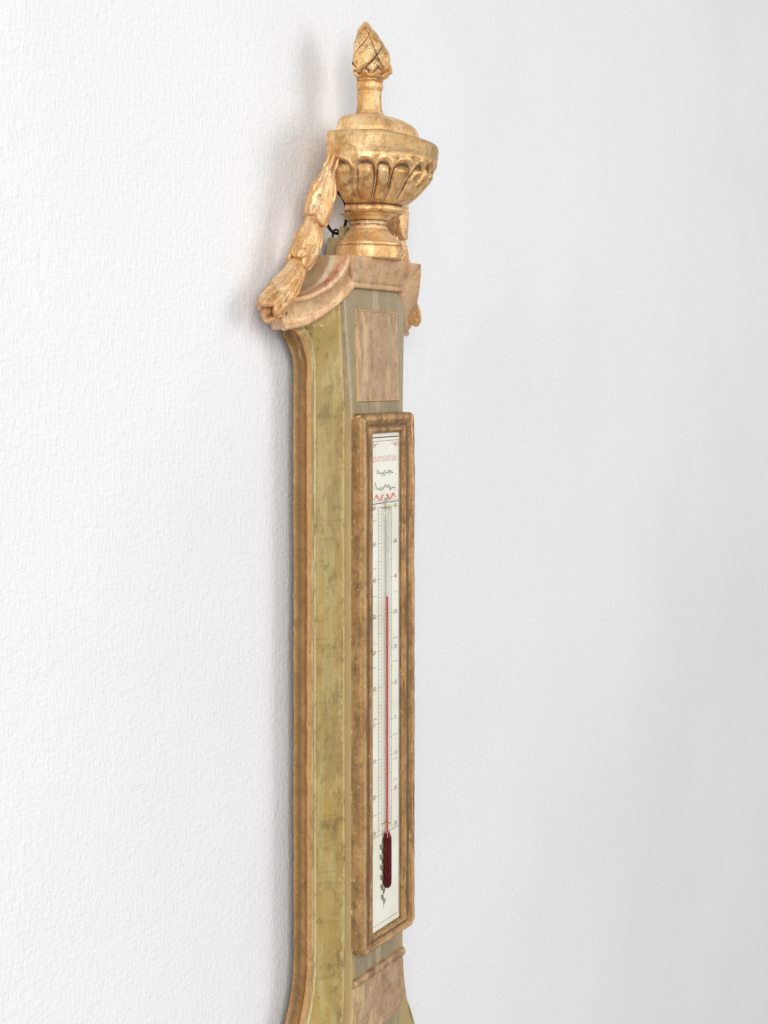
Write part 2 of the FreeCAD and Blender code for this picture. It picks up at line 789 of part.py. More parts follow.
def make_bead_ring():
    ring = Part.makeTorus(bead_ring_r, bead_r, at(0, front_d + 4.0 + bead_r * 0.5, 0),
                          FreeCAD.Vector(0, 1, 0))
    front = pin(dial_case_r, 0, 0, front_d + 4.0, front_d + 30.0)
    return one_solid(ring.common(front))


def make_dial_glass():
    return disc(dial_open_r - glass_fit, bush_r, front_d - glass_t, front_d)


def make_glass_bush():
    # flanged brass bush in the middle of the glass
    body = disc(bush_r, set_spindle_r + running_gap, front_d - glass_t, front_d)
    flange = disc(bush_r + 1.4, set_spindle_r + running_gap, front_d, front_d + 0.8)
    return fused([body, flange])


def make_spacer_ring():
    out = dial_open_r - glass_fit
    return disc(out, out - spacer_w, field_inner_d, front_d - glass_t)


def make_dial_plate():
    return disc(dial_plate_r, bush_r, field_inner_d - dial_plate_t, field_inner_d)


def make_dial_bush():
    return disc(bush_r, arbor_r + running_gap, field_inner_d - dial_plate_t - 2, field_inner_d)


def make_rear_bearing():
    return disc(bearing_r, arbor_r + running_gap, board_t, pulley_d - pulley_t / 2 - 0.2)


def make_arbor():
    return disc(arbor_r, 0, board_t + 0.3, field_inner_d + 1.4 + hand_t)


def make_pulley():
    half = pulley_t / 2
    lip = pulley_r + 0.8
    groove = pulley_r - thread_r
    section = [(arbor_r, pulley_d - half), (lip, pulley_d - half), (groove, pulley_d - 0.3),
               (groove, pulley_d + 0.3), (lip, pulley_d + half), (arbor_r, pulley_d + half)]
    corners = [at(r, d, 0) for r, d in section]
    face = Part.Face(Part.makePolygon(corners + [corners[0]]))
    return face.revolve(FreeCAD.Vector(0, 0, 0), FreeCAD.Vector(0, 1, 0), 360)


def make_pulley_thread():
    loop = Part.makeTorus(pulley_r, thread_r, at(0, pulley_d, 0), FreeCAD.Vector(0, 1, 0))
    return one_solid(loop.common(box(-20, 20, 0, 20, 0, 20)))


def hand_blank(length, tail, d0, hole):
    # slender hand: pointed head, waisted shaft, crescent-weighted tail
    outline = [(0, length), (2.4, length - 16), (0.9, length - 22), (1.3, 8), (3.4, 3.4),
               (3.4, -3.4), (1.5, -8), (2.6, -tail + 4), (0, -tail), (-2.6, -tail + 4),
               (-1.5, -8), (-3.4, -3.4), (-3.4, 3.4), (-1.3, 8), (-0.9, length - 22),
               (-2.4, length - 16)]
    blank = prism(outline, d0, d0 + hand_t)
    return one_solid(blank.cut(pin(hole, 0, 0, d0 - 1, d0 + 3)))


def make_indicator_hand():
    return hand_blank(hand_len, hand_tail, field_inner_d + 1.2, arbor_r)


def make_set_hand():
    return hand_blank(set_hand_len, hand_tail, field_inner_d + 2.6, set_spindle_r)


def make_set_knob():
    start = field_inner_d + 2.55
    seat = front_d + 1.0
    spindle = disc(set_spindle_r, 0, start, seat)
    knob = disc(knob_r, 0, seat, seat + knob_l)
    knob = knob.makeChamfer(0.8, [e for e in knob.Edges if e.Length > 2 * knob_r])
    return fused([spindle, knob])


# ---------------------------------------------------------------- barometer
def tube_path_solid(radius, short_top, long_top):
    low = tube_bend_z
    mid_x = (short_x + long_x) / 2
    bend = Part.makeTorus(limb_gap / 2, radius, at(mid_x, pulley_d, low), FreeCAD.Vector(0, 1, 0))
    bend = bend.common(box(short_x - 10, long_x + 10, 0, 30, low - 30, low))
    return fused([bend, rod(radius, short_x, pulley_d, low, short_top),
                  rod(radius, long_x, pulley_d, low, long_top)])


def make_barometer_tube():
    outer = tube_path_solid(tube_r, short_limb_top_z, tube_top_z)
    inner = tube_path_solid(tube_bore_r, short_limb_top_z + 1, tube_top_z - 2)
    return one_solid(outer.cut(inner))


def short_rest_z():
    return mercury_low_z - meniscus_rest - 2.0


def long_rest_z():
    return mercury_low_z + mercury_height - meniscus_rest - 2.0


def make_mercury_body():
    return tube_path_solid(tube_bore_r, short_rest_z(), long_rest_z())


def make_mercury_short():
    return rod(tube_bore_r, short_x, pulley_d, short_rest_z(), mercury_low_z)


def make_mercury_long():
    return rod(tube_bore_r, long_x, pulley_d, long_rest_z(), mercury_low_z + mercury_height)


def make_float():
    return rod(float_r, short_x, pulley_d, mercury_low_z, mercury_low_z + float_h)


def make_counterweight():
    return rod(weight_r, -short_x, pulley_d, weight_z - weight_h, weight_z)


def make_float_thread():
    return rod(thread_r, short_x, pulley_d, mercury_low_z + float_h, 0)


def make_weight_thread():
    return rod(thread_r, -short_x, pulley_d, weight_z, 0)


def make_strap(z):
    # brass saddle over the long limb, a foot on each side on the back board
    inner = tube_r + 0.05
    outer = inner + strap_t
    z0 = z - strap_h / 2
    z1 = z + strap_h / 2
    arch = rod(outer, long_x, pulley_d, z0, z1)
    cheeks = box(long_x - outer, long_x + outer, board_t, pulley_d, z0, z1)
    saddle = fused([arch, cheeks])
    foot_out = outer + 7
    feet = box(long_x - foot_out, long_x + foot_out, board_t, board_t + strap_t, z0, z1)
    saddle = fused([saddle, feet])
    hollow = rod(inner, long_x, pulley_d, z0 - 1, z1 + 1)
    throat = box(long_x - inner, long_x + inner, board_t - 1, pulley_d, z0 - 1, z1 + 1)
    return saddle.cut(hollow).cut(throat)


def screw_places():
    side = tube_r + 0.05 + strap_t + 3.5
    return [(long_x + s * side, z) for z in (strap_low_z, strap_top_z) for s in (-1, 1)]


def make_one_screw(x, z):
    seat = board_t + strap_t
    shank = pin(screw_r, x, z, seat + 0.001 - screw_l, seat)
    head = pin(screw_head_r, x, z, seat, seat + screw_head_t)
    slot = box(x - screw_head_r, x + screw_head_r, seat + screw_head_t - 0.4,
               seat + screw_head_t + 1, z - 0.3, z + 0.3)
    return fused([shank, head]).cut(slot)


# ---------------------------------------------------------------- assembly
def build():
    nodes = {}
    wing_right = make_wing()
    wing_left = mirrored(wing_right)
    tongue = tab_tongue_space()
    board = one_solid(make_back_board(tongue))
    moulding = make_moulding(wing_right, board, True)
    field = make_field(wing_right, True)
    screws = [make_one_screw(x, z) for x, z in screw_places()]
    straps = [make_strap(z) for z in (strap_low_z, strap_top_z)]
    for screw in screws:
        board = board.cut(screw)
        straps = [strap.cut(screw) for strap in straps]
    nodes["back_board"] = one_solid(board)
    nodes["moulding_right"] = moulding
    nodes["moulding_left"] = mirrored(make_moulding(wing_right, board, False))
    nodes["field_right"] = field
    nodes["field_left"] = mirrored(make_field(wing_right, False))
    nodes["pilaster_front"] = make_pilaster([wing_right, wing_left])
    nodes["cornice_wing_right"] = wing_right
    nodes["cornice_wing_left"] = wing_left
    nodes["cornice_front"] = make_cornice(tenon_hole(cornice_top_z, 10))
    nodes["urn_foot"] = make_urn_foot()
    nodes["urn_bowl"] = make_urn_bowl()
    nodes["urn_lid"] = make_urn_lid()
    nodes["flame_finial"] = make_flame()
    swag = make_swag([nodes["urn_bowl"], nodes["urn_foot"], wing_right, moulding, field,
                      nodes["cornice_front"]])
    nodes["swag_right"] = swag
    nodes["swag_left"] = mirrored(swag)
    staple = make_staple()
    nodes["hanger_tab"] = one_solid(make_tab().cut(staple))
    nodes["hanger_staple"] = staple
    nodes["hanging_ring"] = make_hanging_ring()
    nodes["upper_panel"] = make_upper_panel()
    nodes["lower_panel"] = make_lower_panel()
    side = make_side_rail()
    nodes["frame_rail_right"] = side
    nodes["frame_rail_left"] = mirrored(side)
    nodes["frame_rail_top"] = make_end_rail(frame_top_z, rail_top, -1)
    nodes["frame_rail_bottom"] = make_end_rail(frame_low_z, rail_low, 1)
    ties = [make_stem_tie(tie_low_z), make_stem_tie(tie_top_z)]
    nodes["stem_tie_lower"] = ties[0]
    nodes["stem_tie_upper"] = ties[1]
    nodes["scale_board"] = make_scale_board(ties)
    nodes["scale_paper"] = make_scale_paper(ties)
    nodes["thermometer_glass"] = make_thermometer_glass()
    nodes["thermometer_spirit"] = make_thermometer_spirit()
    for name in ("frame_rail_right", "frame_rail_left", "frame_rail_top", "frame_rail_bottom",
                 "stem_tie_lower", "stem_tie_upper", "scale_board", "scale_paper",
                 "thermometer_glass", "thermometer_spirit"):
        nodes[name].translate(at(frame_x, 0, 0))
    nodes["dial_frame"] = make_dial_frame()
    nodes["dial_bead_ring"] = make_bead_ring()
    nodes["dial_glass"] = make_dial_glass()
    nodes["glass_bush"] = make_glass_bush()
    nodes["dial_spacer_ring"] = make_spacer_ring()
    nodes["dial_plate"] = make_dial_plate()
    nodes["dial_bush"] = make_dial_bush()
    nodes["rear_bearing"] = make_rear_bearing()
    nodes["indicator_arbor"] = make_arbor()
    nodes["indicator_pulley"] = make_pulley()
    nodes["pulley_thread"] = make_pulley_thread()
    nodes["indicator_hand"] = make_indicator_hand()
    nodes["set_hand"] = make_set_hand()
    nodes["set_knob"] = make_set_knob()
    nodes["barometer_tube"] = make_barometer_tube()
    nodes["mercury_body"] = make_mercury_body()
    nodes["mercury_short_column"] = make_mercury_short()
    nodes["mercury_long_column"] = make_mercury_long()
    nodes["float_weight"] = make_float()
    nodes["counterweight"] = make_counterweight()
    nodes["float_thread"] = make_float_thread()
    nodes["counterweight_thread"] = make_weight_thread()
    nodes["tube_strap_lower"] = one_solid(straps[0])
    nodes["tube_strap_upper"] = one_solid(straps[1])
    nodes["strap_screws"] = Part.makeCompound(screws)
    nodes["pendant"] = make_pendant()
    nodes["pendant_drop"] = make_pendant_drop()
    leaf = make_crest_leaf()
    for other in ("pilaster_front", "field_right", "field_left", "pendant", "moulding_right",
                  "moulding_left", "dial_frame"):
        leaf = leaf.cut(nodes[other])
    nodes["pendant_leaf"] = one_solid(leaf.cut(field_hollow()))
    return nodes


def field_hollow():
    # the hollow behind the field, which the leaf must not enter
    return round_case(pilaster_case_r + 8, 0, 12)


os.makedirs("parts", exist_ok=True)
for name, shape in build().items():
    shape.exportStep("parts/" + name + ".step")
    print(name, len(shape.Solids), round(shape.Volume, 1), shape.isValid())
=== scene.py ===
import math
import bmesh
import bpy
import numpy as np
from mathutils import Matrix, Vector


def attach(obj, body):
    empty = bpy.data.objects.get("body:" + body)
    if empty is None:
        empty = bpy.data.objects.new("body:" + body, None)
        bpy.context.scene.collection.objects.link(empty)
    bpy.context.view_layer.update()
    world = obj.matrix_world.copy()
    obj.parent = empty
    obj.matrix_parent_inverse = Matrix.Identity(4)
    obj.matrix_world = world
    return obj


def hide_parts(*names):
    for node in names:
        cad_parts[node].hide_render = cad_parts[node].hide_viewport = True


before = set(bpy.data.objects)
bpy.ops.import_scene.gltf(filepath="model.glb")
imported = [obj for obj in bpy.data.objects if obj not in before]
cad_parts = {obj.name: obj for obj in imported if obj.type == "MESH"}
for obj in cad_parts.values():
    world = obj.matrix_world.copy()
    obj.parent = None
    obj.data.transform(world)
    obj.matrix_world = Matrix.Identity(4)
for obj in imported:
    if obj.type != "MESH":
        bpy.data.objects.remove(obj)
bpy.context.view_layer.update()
print("frame loaded")

# Everything below is computed in millimetres: x to the right, d out from the
# wall, z up. toWorld turns that into the frame's metres.

case = {
    "shaftHalf": 56.0, "roundRadius": 120.0, "hollowRadius": 76.0, "slope": math.radians(25),
    "pilasterHalf": 36.0, "pilasterRound": 90.0, "pilasterHollow": 135.0,
    "flareZ": 586.0, "flareRadius": 30.0, "corniceLow": 642.5, "corniceTop": 664.0,
    "headZ": 556.0, "headSpread": 7.0, "headLean": 2.4,
    "mouldingWidth": 4.3, "frontDepth": 35.0, "dialOpening": 70.0,
}


def stack(x, d, z):
    x, d, z = np.broadcast_arrays(x, d, z)
    return np.stack([x, d, z], -1).astype(float)


def toWorld(points):
    return np.stack([points[..., 0], -points[..., 1], points[..., 2]], -1) * 0.001


def smoothStep(low, high, value):
    t = np.clip((value - low) / (high - low), 0.0, 1.0)
    return t * t * (3 - 2 * t)


def valueNoise(points, size, seed):
    # hashed lattice values blended with 3t^2 - 2t^3 along each axis, -1..1
    p = points / size + 1000.0
    cell = np.floor(p).astype(np.int64)
    t = p - cell
    t = t * t * (3 - 2 * t)
    total = np.zeros(p.shape[:-1])
    for corner in range(8):
        bits = np.array([corner & 1, corner >> 1 & 1, corner >> 2 & 1])
        c = cell + bits
        n = (c[..., 0] * 374761393 + c[..., 1] * 668265263 + c[..., 2] * 922337 + seed * 144269)
        n = n & 0xFFFFFFFF
        n = ((n ^ (n >> 13)) * 1274126177) & 0xFFFFFFFF
        value = ((n ^ (n >> 16)) & 0xFFFF) / 32767.5 - 1.0
        weight = np.prod(np.where(bits, t, 1 - t), -1)
        total += value * weight
    return total


def fractal(points, size, seed, octaves=3):
    total = 0
    for k in range(octaves):
        total = total + valueNoise(points, size / 2 ** k, seed + k) / 2 ** k
    return total


def gridFaces(rows, columns, closeRows=False, closeColumns=False, start=0):
    i = np.arange(rows if closeRows else rows - 1)[:, None]
    j = np.arange(columns if closeColumns else columns - 1)[None, :]
    i2 = (i + 1) % rows
    j2 = (j + 1) % columns
    quads = np.stack(np.broadcast_arrays(i * columns + j, i2 * columns + j,
                                         i2 * columns + j2, i * columns + j2), -1)
    return quads.reshape(-1, 4) + start


def reliefOf(points, edges, normals, rounds, scale):
    # how far each point stands proud of its smoothed neighbourhood
    count = len(points)
    a = np.concatenate([edges[:, 0], edges[:, 1]])
    b = np.concatenate([edges[:, 1], edges[:, 0]])
    degree = np.maximum(np.bincount(a, minlength=count), 1)
    smooth = points.copy()
    for _ in range(rounds):
        smooth = np.stack([np.bincount(a, smooth[b, axis], count) / degree for axis in range(3)], -1)
    return np.clip(np.sum((points - smooth) * normals, 1) / scale, -1, 1)


class Piece:
    # gathers grids in millimetres and turns them into one mesh object
    def __init__(self, name):
        self.name = name
        self.points = []
        self.quads = []
        self.count = 0

    def grid(self, points, closeRows=False, closeColumns=False, flip=False):
        rows, columns = points.shape[:2]
        quads = gridFaces(rows, columns, closeRows, closeColumns, self.count)
        self.quads.append(quads[:, ::-1] if flip else quads)
        self.points.append(points.reshape(-1, 3))
        self.count += rows * columns
        return self

    def cap(self, ring, flip=False):
        # closes an open end with quads drawn in to its middle
        middle = ring.mean(0)
        inner = middle + (ring - middle) * 0.02
        return self.grid(np.stack([ring, inner]), False, True, flip).fill(inner, flip)

    def fill(self, ring, flip):
        half = (len(ring) + 1) // 2
        a = ring[:half]
        b = ring[::-1][:half]
        return self.grid(np.stack([a, b]), False, False, flip)

    def finish(self, material, body, slot, nodes, rounds=3, scale=0.5, sharp=50, extra=None):
        points = np.concatenate(self.points)
        points[:, 1] = np.maximum(points[:, 1], 0.0)
        quads = np.concatenate(self.quads)
        mesh = bpy.data.meshes.new(self.name)
        mesh.from_pydata(toWorld(points).tolist(), [], quads.tolist())
        for key, value in (extra or {}).items():
            layer = mesh.attributes.new(key, "FLOAT", "POINT")
            layer.data.foreach_set("value", np.asarray(value, np.float32))
        work = bmesh.new()
        work.from_mesh(mesh)
        bmesh.ops.remove_doubles(work, verts=work.verts, dist=2e-6)
        bmesh.ops.dissolve_degenerate(work, dist=1e-7, edges=work.edges)
        bmesh.ops.recalc_face_normals(work, faces=work.faces)
        work.to_mesh(mesh)
        work.free()
        place = np.empty(len(mesh.vertices) * 3)
        mesh.vertices.foreach_get("co", place)
        normals = np.empty(len(mesh.vertices) * 3)
        mesh.vertices.foreach_get("normal", normals)
        edges = np.empty(len(mesh.edges) * 2, int)
        mesh.edges.foreach_get("vertices", edges)
        relief = reliefOf(place.reshape(-1, 3) * 1000, edges.reshape(-1, 2), normals.reshape(-1, 3), rounds,
                          scale)
        layer = mesh.attributes.new("relief", "FLOAT", "POINT")
        layer.data.foreach_set("value", relief.astype(np.float32))
        mesh.shade_smooth()
        mesh.set_sharp_from_angle(angle=math.radians(sharp))
        thing = bpy.data.objects.new(self.name, mesh)
        bpy.context.scene.collection.objects.link(thing)
        mesh.materials.append(material)
        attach(thing, body)
        if nodes:
            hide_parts(*nodes)
        return thing


def roundOff(profile, rounds=2):
    # corner cutting: each edge keeps its middle half
    p = np.array(profile, float)
    for _ in range(rounds):
        nxt = np.roll(p, -1, 0)
        cut = np.stack([p * 0.75 + nxt * 0.25, p * 0.25 + nxt * 0.75], 1)
        p = np.concatenate([p[:1], cut[:-1].reshape(-1, 2), p[-1:]])
    return p


def resample(profile, count):
    p = np.array(profile, float)
    length = np.concatenate([[0], np.cumsum(np.linalg.norm(np.diff(p, axis=0), axis=1))])
    t = np.linspace(0, length[-1], count)
    return np.stack([np.interp(t, length, p[:, k]) for k in range(p.shape[1])], -1)


class Shader:
    def __init__(self, name):
        self.material = bpy.data.materials.new(name)
        self.material.use_nodes = True
        self.tree = self.material.node_tree
        self.bsdf = self.tree.nodes["Principled BSDF"]
        self.coord = self.node("ShaderNodeTexCoord").outputs["Object"]

    def node(self, kind, **settings):
        made = self.tree.nodes.new(kind)
        for key, value in settings.items():
            setattr(made, key, value)
        return made

    def put(self, socket, value):
        if isinstance(value, bpy.types.NodeSocket):
            self.tree.links.new(value, socket)
        else:
            socket.default_value = value

    def set(self, **inputs):
        for key, value in inputs.items():
            self.put(self.bsdf.inputs[key.replace("_", " ")], value)

    def attribute(self, name):
        return self.node("ShaderNodeAttribute", attribute_name=name).outputs["Fac"]

    def noise(self, scale, detail=4.0, stretch=(1, 1, 1), rough=0.55, distortion=0.0):
        mapping = self.node("ShaderNodeMapping")
        mapping.inputs["Scale"].default_value = stretch
        self.tree.links.new(self.coord, mapping.inputs["Vector"])
        made = self.node("ShaderNodeTexNoise")
        made.inputs["Scale"].default_value = scale
        made.inputs["Detail"].default_value = detail
        made.inputs["Roughness"].default_value = rough
        made.inputs["Distortion"].default_value = distortion
        self.tree.links.new(mapping.outputs[0], made.inputs["Vector"])
        return made.outputs["Fac"]

    def cells(self, scale, feature="DISTANCE_TO_EDGE", stretch=(1, 1, 1)):
        mapping = self.node("ShaderNodeMapping")
        mapping.inputs["Scale"].default_value = stretch
        self.tree.links.new(self.coord, mapping.inputs["Vector"])
        made = self.node("ShaderNodeTexVoronoi", feature=feature)
        made.inputs["Scale"].default_value = scale
        self.tree.links.new(mapping.outputs[0], made.inputs["Vector"])
        return made.outputs["Distance"]

    def math(self, operation, a, b=0.0):
        made = self.node("ShaderNodeMath", operation=operation)
        self.put(made.inputs[0], a)
        self.put(made.inputs[1], b)
        return made.outputs[0]

    def span(self, value, low, high, toLow=0.0, toHigh=1.0):
        made = self.node("ShaderNodeMapRange", interpolation_type="SMOOTHSTEP")
        self.put(made.inputs["Value"], value)
        made.inputs["From Min"].default_value = low
        made.inputs["From Max"].default_value = high
        made.inputs["To Min"].default_value = toLow
        made.inputs["To Max"].default_value = toHigh
        return made.outputs[0]

    def mix(self, amount, a, b):
        made = self.node("ShaderNodeMix", data_type="RGBA")
        self.put(made.inputs[0], amount)
        self.put(made.inputs[6], a if isinstance(a, bpy.types.NodeSocket) else (*a, 1))
        self.put(made.inputs[7], b if isinstance(b, bpy.types.NodeSocket) else (*b, 1))
        return made.outputs[2]

    def bump(self, height, strength, distance):
        made = self.node("ShaderNodeBump")
        made.inputs["Strength"].default_value = strength
        made.inputs["Distance"].default_value = distance
        self.tree.links.new(height, made.inputs["Height"])
        self.tree.links.new(made.outputs[0], self.bsdf.inputs["Normal"])


def giltShader(name, values, overlay=None):
    # old water gilding: gold leaf, worn through to red bole and pale gesso on
    # the ridges, brown dirt and painted shade in the hollows, fine dark cracks
    s = Shader(name)
    relief = s.attribute("relief")
    broad = s.noise(values["broadScale"], 5)
    middle = s.noise(170, 4, rough=0.6)
    fine = s.noise(values["fineScale"], 6, rough=0.68)
    speck = s.noise(760, 3, rough=0.7)
    streak = s.noise(90, 4, values["streak"])
    gold = s.mix(s.span(broad, 0.36, 0.64), values["gold"], values["goldPale"])
    gold = s.mix(s.math("MULTIPLY", s.span(streak, 0.44, 0.68), 0.75), gold, values["goldDeep"])
    gold = s.mix(s.math("MULTIPLY", s.span(middle, 0.50, 0.70), values["shade"]), gold, values["brown"])
    # bole shows where leaf is rubbed: ridges plus noise
    rubbed = s.math("ADD", s.math("MULTIPLY", relief, values["ridge"]), fine)
    boleAmount = s.math("MULTIPLY", s.span(rubbed, values["boleFrom"], values["boleFrom"] + 0.10),
                        values["boleMost"])
    color = s.mix(boleAmount, gold, values["bole"])
    gessoAmount = s.span(s.math("ADD", rubbed, s.math("MULTIPLY", speck, 0.12)), values["gessoFrom"],
                         values["gessoFrom"] + 0.06)
    color = s.mix(gessoAmount, color, values["gesso"])
    # the hollows darkened by the relief mask: partly dirt, partly painted shade
    hollow = s.math("SUBTRACT", s.math("MULTIPLY", s.noise(250, 4), 0.35), relief)
    dirtAndShadeAmount = s.math("MULTIPLY", s.span(hollow, values["dirtAndShadeFrom"], values["dirtAndShadeFrom"] + 0.5),
                        values["dirtAndShadeMost"])
    color = s.mix(dirtAndShadeAmount, color, values["dirtAndShade"])
    blotch = s.math("MULTIPLY", s.span(s.noise(46, 5, rough=0.72), 0.55, 0.68), values["blotch"])
    color = s.mix(blotch, color, values["dirtAndShade"])
    spots = s.span(speck, 0.62, 0.68)
    color = s.mix(s.math("MULTIPLY", spots, 0.8), color, values["dirtAndShade"])
    pale = s.span(s.noise(610, 2), 0.67, 0.72)
    color = s.mix(s.math("MULTIPLY", pale, 0.4), color, values["gesso"])
    cracks = s.span(s.cells(values["crackScale"], stretch=values["crackStretch"]), 0.0, 0.07, 1.0, 0.0)
    broken = s.math("MULTIPLY", cracks, s.span(broad, 0.42, 0.60))
    color = s.mix(s.math("MULTIPLY", broken, values["crack"]), color, values["dirtAndShade"])
    covered = s.math("MAXIMUM", s.math("MAXIMUM", boleAmount, gessoAmount), dirtAndShadeAmount)
    metal = s.math("MULTIPLY", s.math("SUBTRACT", 1.0, covered), values["metal"])
    if overlay:
        color, metal = overlay(s, color, metal)
    s.set(Base_Color=color, Metallic=metal,
          Roughness=s.span(fine, 0.3, 0.75, values["rough"] - 0.1, values["rough"] + 0.16))
    height = s.math("SUBTRACT",
                    s.math("ADD", s.math("MULTIPLY", fine, 0.9), s.math("MULTIPLY", middle, 0.8)),
                    s.math("MULTIPLY", broken, values["crack"]))
    s.bump(s.math("ADD", height, s.math("MULTIPLY", speck, 0.35)), 0.8, values["bump"])
    return s.material


brightGilt = {
    "gold": (0.84, 0.51, 0.21), "goldPale": (0.98, 0.70, 0.38), "goldDeep": (0.56, 0.28, 0.08),
    "brown": (0.33, 0.16, 0.055), "shade": 0.5,
    "bole": (0.42, 0.15, 0.075), "gesso": (0.88, 0.76, 0.55), "dirtAndShade": (0.085, 0.04, 0.016),
    "broadScale": 60, "fineScale": 240, "streak": (1, 1, 0.25), "ridge": 0.24,
    "boleFrom": 0.64, "boleMost": 0.6, "gessoFrom": 0.88, "dirtAndShadeFrom": 0.26, "dirtAndShadeMost": 0.95,
    "blotch": 0.4, "metal": 0.5, "rough": 0.38, "crackScale": 260,
    "crackStretch": (1, 1, 1), "crack": 0.0, "bump": 0.0009,
}
flameGiltValues = dict(brightGilt, crack=0.55, crackScale=330, shade=0.8, dirtAndShadeFrom=0.2, boleFrom=0.60)
dullGilt = dict(brightGilt, gold=(0.62, 0.38, 0.19), goldPale=(0.76, 0.52, 0.32), brown=(0.33, 0.19, 0.09),
                goldDeep=(0.46, 0.25, 0.11), bole=(0.42, 0.19, 0.12), dirtAndShade=(0.14, 0.075, 0.035),
                metal=0.15, rough=0.50, boleFrom=0.60, boleMost=0.5, blotch=0.4, crack=0.05)
mouldGilt = dict(dullGilt, gold=(0.30, 0.155, 0.042), goldPale=(0.44, 0.24, 0.075),
                 brown=(0.13, 0.065, 0.02),
                 goldDeep=(0.34, 0.16, 0.04), gesso=(0.62, 0.50, 0.30), streak=(1, 1, 0.06), blotch=0.5,
                 boleMost=0.25, gessoFrom=0.84, crackStretch=(1, 1, 0.5))


def paintShader(name, values):
    # oil paint brushed along the shaft, rubbed, stained and speckled
    s = Shader(name)
    relief = s.attribute("relief")
    stroke = s.noise(values["strokeScale"], 6, (1, 1, 0.06), 0.65)
    acrossStroke = s.noise(260, 5, (0.12, 0.12, 1), 0.65)
    broad = s.noise(15, 5, (1, 1, 0.5))
    patch = s.noise(75, 5, (1, 1, 0.6), 0.65)
    fine = s.noise(300, 5, (1, 1, 0.4), 0.7)
    color = s.mix(s.span(broad, 0.36, 0.64), values["paint"], values["paintWarm"])
    color = s.mix(s.math("MULTIPLY", s.span(patch, 0.52, 0.66), 0.8), color, values["paintYellow"])
    color = s.mix(s.math("MULTIPLY", s.span(stroke, 0.46, 0.64), 0.75), color, values["paintPale"])
    color = s.mix(s.math("MULTIPLY", s.span(acrossStroke, 0.54, 0.68), 0.3), color, values["stain"])
    color = s.mix(s.math("MULTIPLY", s.span(s.noise(46, 6, (1, 1, 0.45), 0.7), 0.53, 0.66),
                         values["stainMost"]), color, values["stain"])
    rubbed = s.span(s.math("ADD", s.math("MULTIPLY", relief, 0.3), fine), 0.64, 0.74)
    color = s.mix(s.math("MULTIPLY", rubbed, 0.8), color, values["under"])
    # darker in the hollows: grime and painted shade
    hollow = s.span(s.math("SUBTRACT", s.math("MULTIPLY", fine, 0.3), relief), 0.35, 0.85)
    color = s.mix(s.math("MULTIPLY", hollow, 0.85), color, values["dark"])
    flecks = s.math("ADD", s.noise(520, 4, rough=0.75), s.math("MULTIPLY", s.noise(60, 3), 0.3))
    color = s.mix(s.math("MULTIPLY", s.span(flecks, 0.78, 0.85), 0.65), color, values["dark"])
    color = s.mix(s.math("MULTIPLY", s.span(flecks, 0.50, 0.42), 0.6), color, values["under"])
    mottle = s.noise(130, 6, (1, 1, 0.55), 0.75)
    color = s.mix(s.span(mottle, 0.53, 0.66, 0.0, values["mottle"]), color, values["stain"])
    color = s.mix(s.span(mottle, 0.45, 0.36, 0.0, values["mottle"]), color, values["paintYellow"])
    if values["edge"]:
        place = s.node("ShaderNodeSeparateXYZ")
        s.put(place.inputs[0], s.coord)
        out = s.math("ADD", s.math("ABSOLUTE", place.outputs[0]), s.math("MULTIPLY", mottle, 0.010))
        olive = s.math("MULTIPLY", s.span(out, 0.034, 0.041), s.span(place.outputs[2], 0.60, 0.52))
        color = s.mix(s.math("MULTIPLY", olive, 0.85), color,
                      s.mix(patch, (0.36, 0.25, 0.08), (0.50, 0.38, 0.16)))
    s.set(Base_Color=color, Roughness=s.span(broad, 0.3, 0.7, 0.42, 0.62))
    height = s.math("ADD", s.math("MULTIPLY", stroke, 0.9), s.math("MULTIPLY", fine, 0.7))
    s.bump(s.math("ADD", height, s.math("MULTIPLY", acrossStroke, 0.6)), 0.7, 0.0007)
    return s.material


# one green paint given two colours by how the light falls: olive-yellow on the canted field, greyer on the
# front-facing pilaster, as painted light
fieldPaint = {
    "paint": (0.30, 0.215, 0.065), "paintWarm": (0.38, 0.255, 0.07), "paintPale": (0.42, 0.35, 0.14),
    "paintYellow": (0.46, 0.34, 0.12),
    "stain": (0.16, 0.10, 0.028), "stainMost": 0.6, "under": (0.62, 0.48, 0.24),
    "dark": (0.06, 0.04, 0.015), "strokeScale": 190, "mottle": 0.6, "edge": False,
}
pilasterPaint = dict(fieldPaint, paint=(0.28, 0.22, 0.125), paintWarm=(0.32, 0.245, 0.14),
                     paintPale=(0.36, 0.31, 0.20), paintYellow=(0.36, 0.27, 0.15), stain=(0.19, 0.13, 0.06),
                     stainMost=0.4, under=(0.44, 0.35, 0.23), mottle=0.2, edge=True)


def woodShader(name, pale, dark, scale=40):
    s = Shader(name)
    grain = s.noise(scale, 8, (1, 1, 0.05), 0.65, 0.4)
    pores = s.noise(420, 4, (1, 1, 0.06), 0.7)
    color = s.mix(s.span(grain, 0.35, 0.65), dark, pale)
    color = s.mix(s.math("MULTIPLY", s.span(pores, 0.55, 0.7), 0.6), color, dark)
    color = s.mix(s.math("MULTIPLY", s.span(s.noise(18, 4), 0.5, 0.7), 0.4), color,
                  tuple(c * 0.6 for c in dark))
    s.set(Base_Color=color, Roughness=0.72)
    s.bump(s.math("ADD", grain, s.math("MULTIPLY", pores, 0.6)), 0.6, 0.0004)
    return s.material


def metalShader(name, color, dull, rough, metal=1.0, rust=0.4):
    s = Shader(name)
    broad = s.noise(120, 5)
    fine = s.noise(700, 5, rough=0.7)
    shade = s.mix(s.math("MULTIPLY", s.span(broad, 0.4, 0.7), rust), color, dull)
    s.set(Base_Color=shade, Metallic=metal, Roughness=s.span(fine, 0.3, 0.7, rough - 0.08, rough + 0.14))
    s.bump(fine, 0.3, 0.00015)
    return s.material


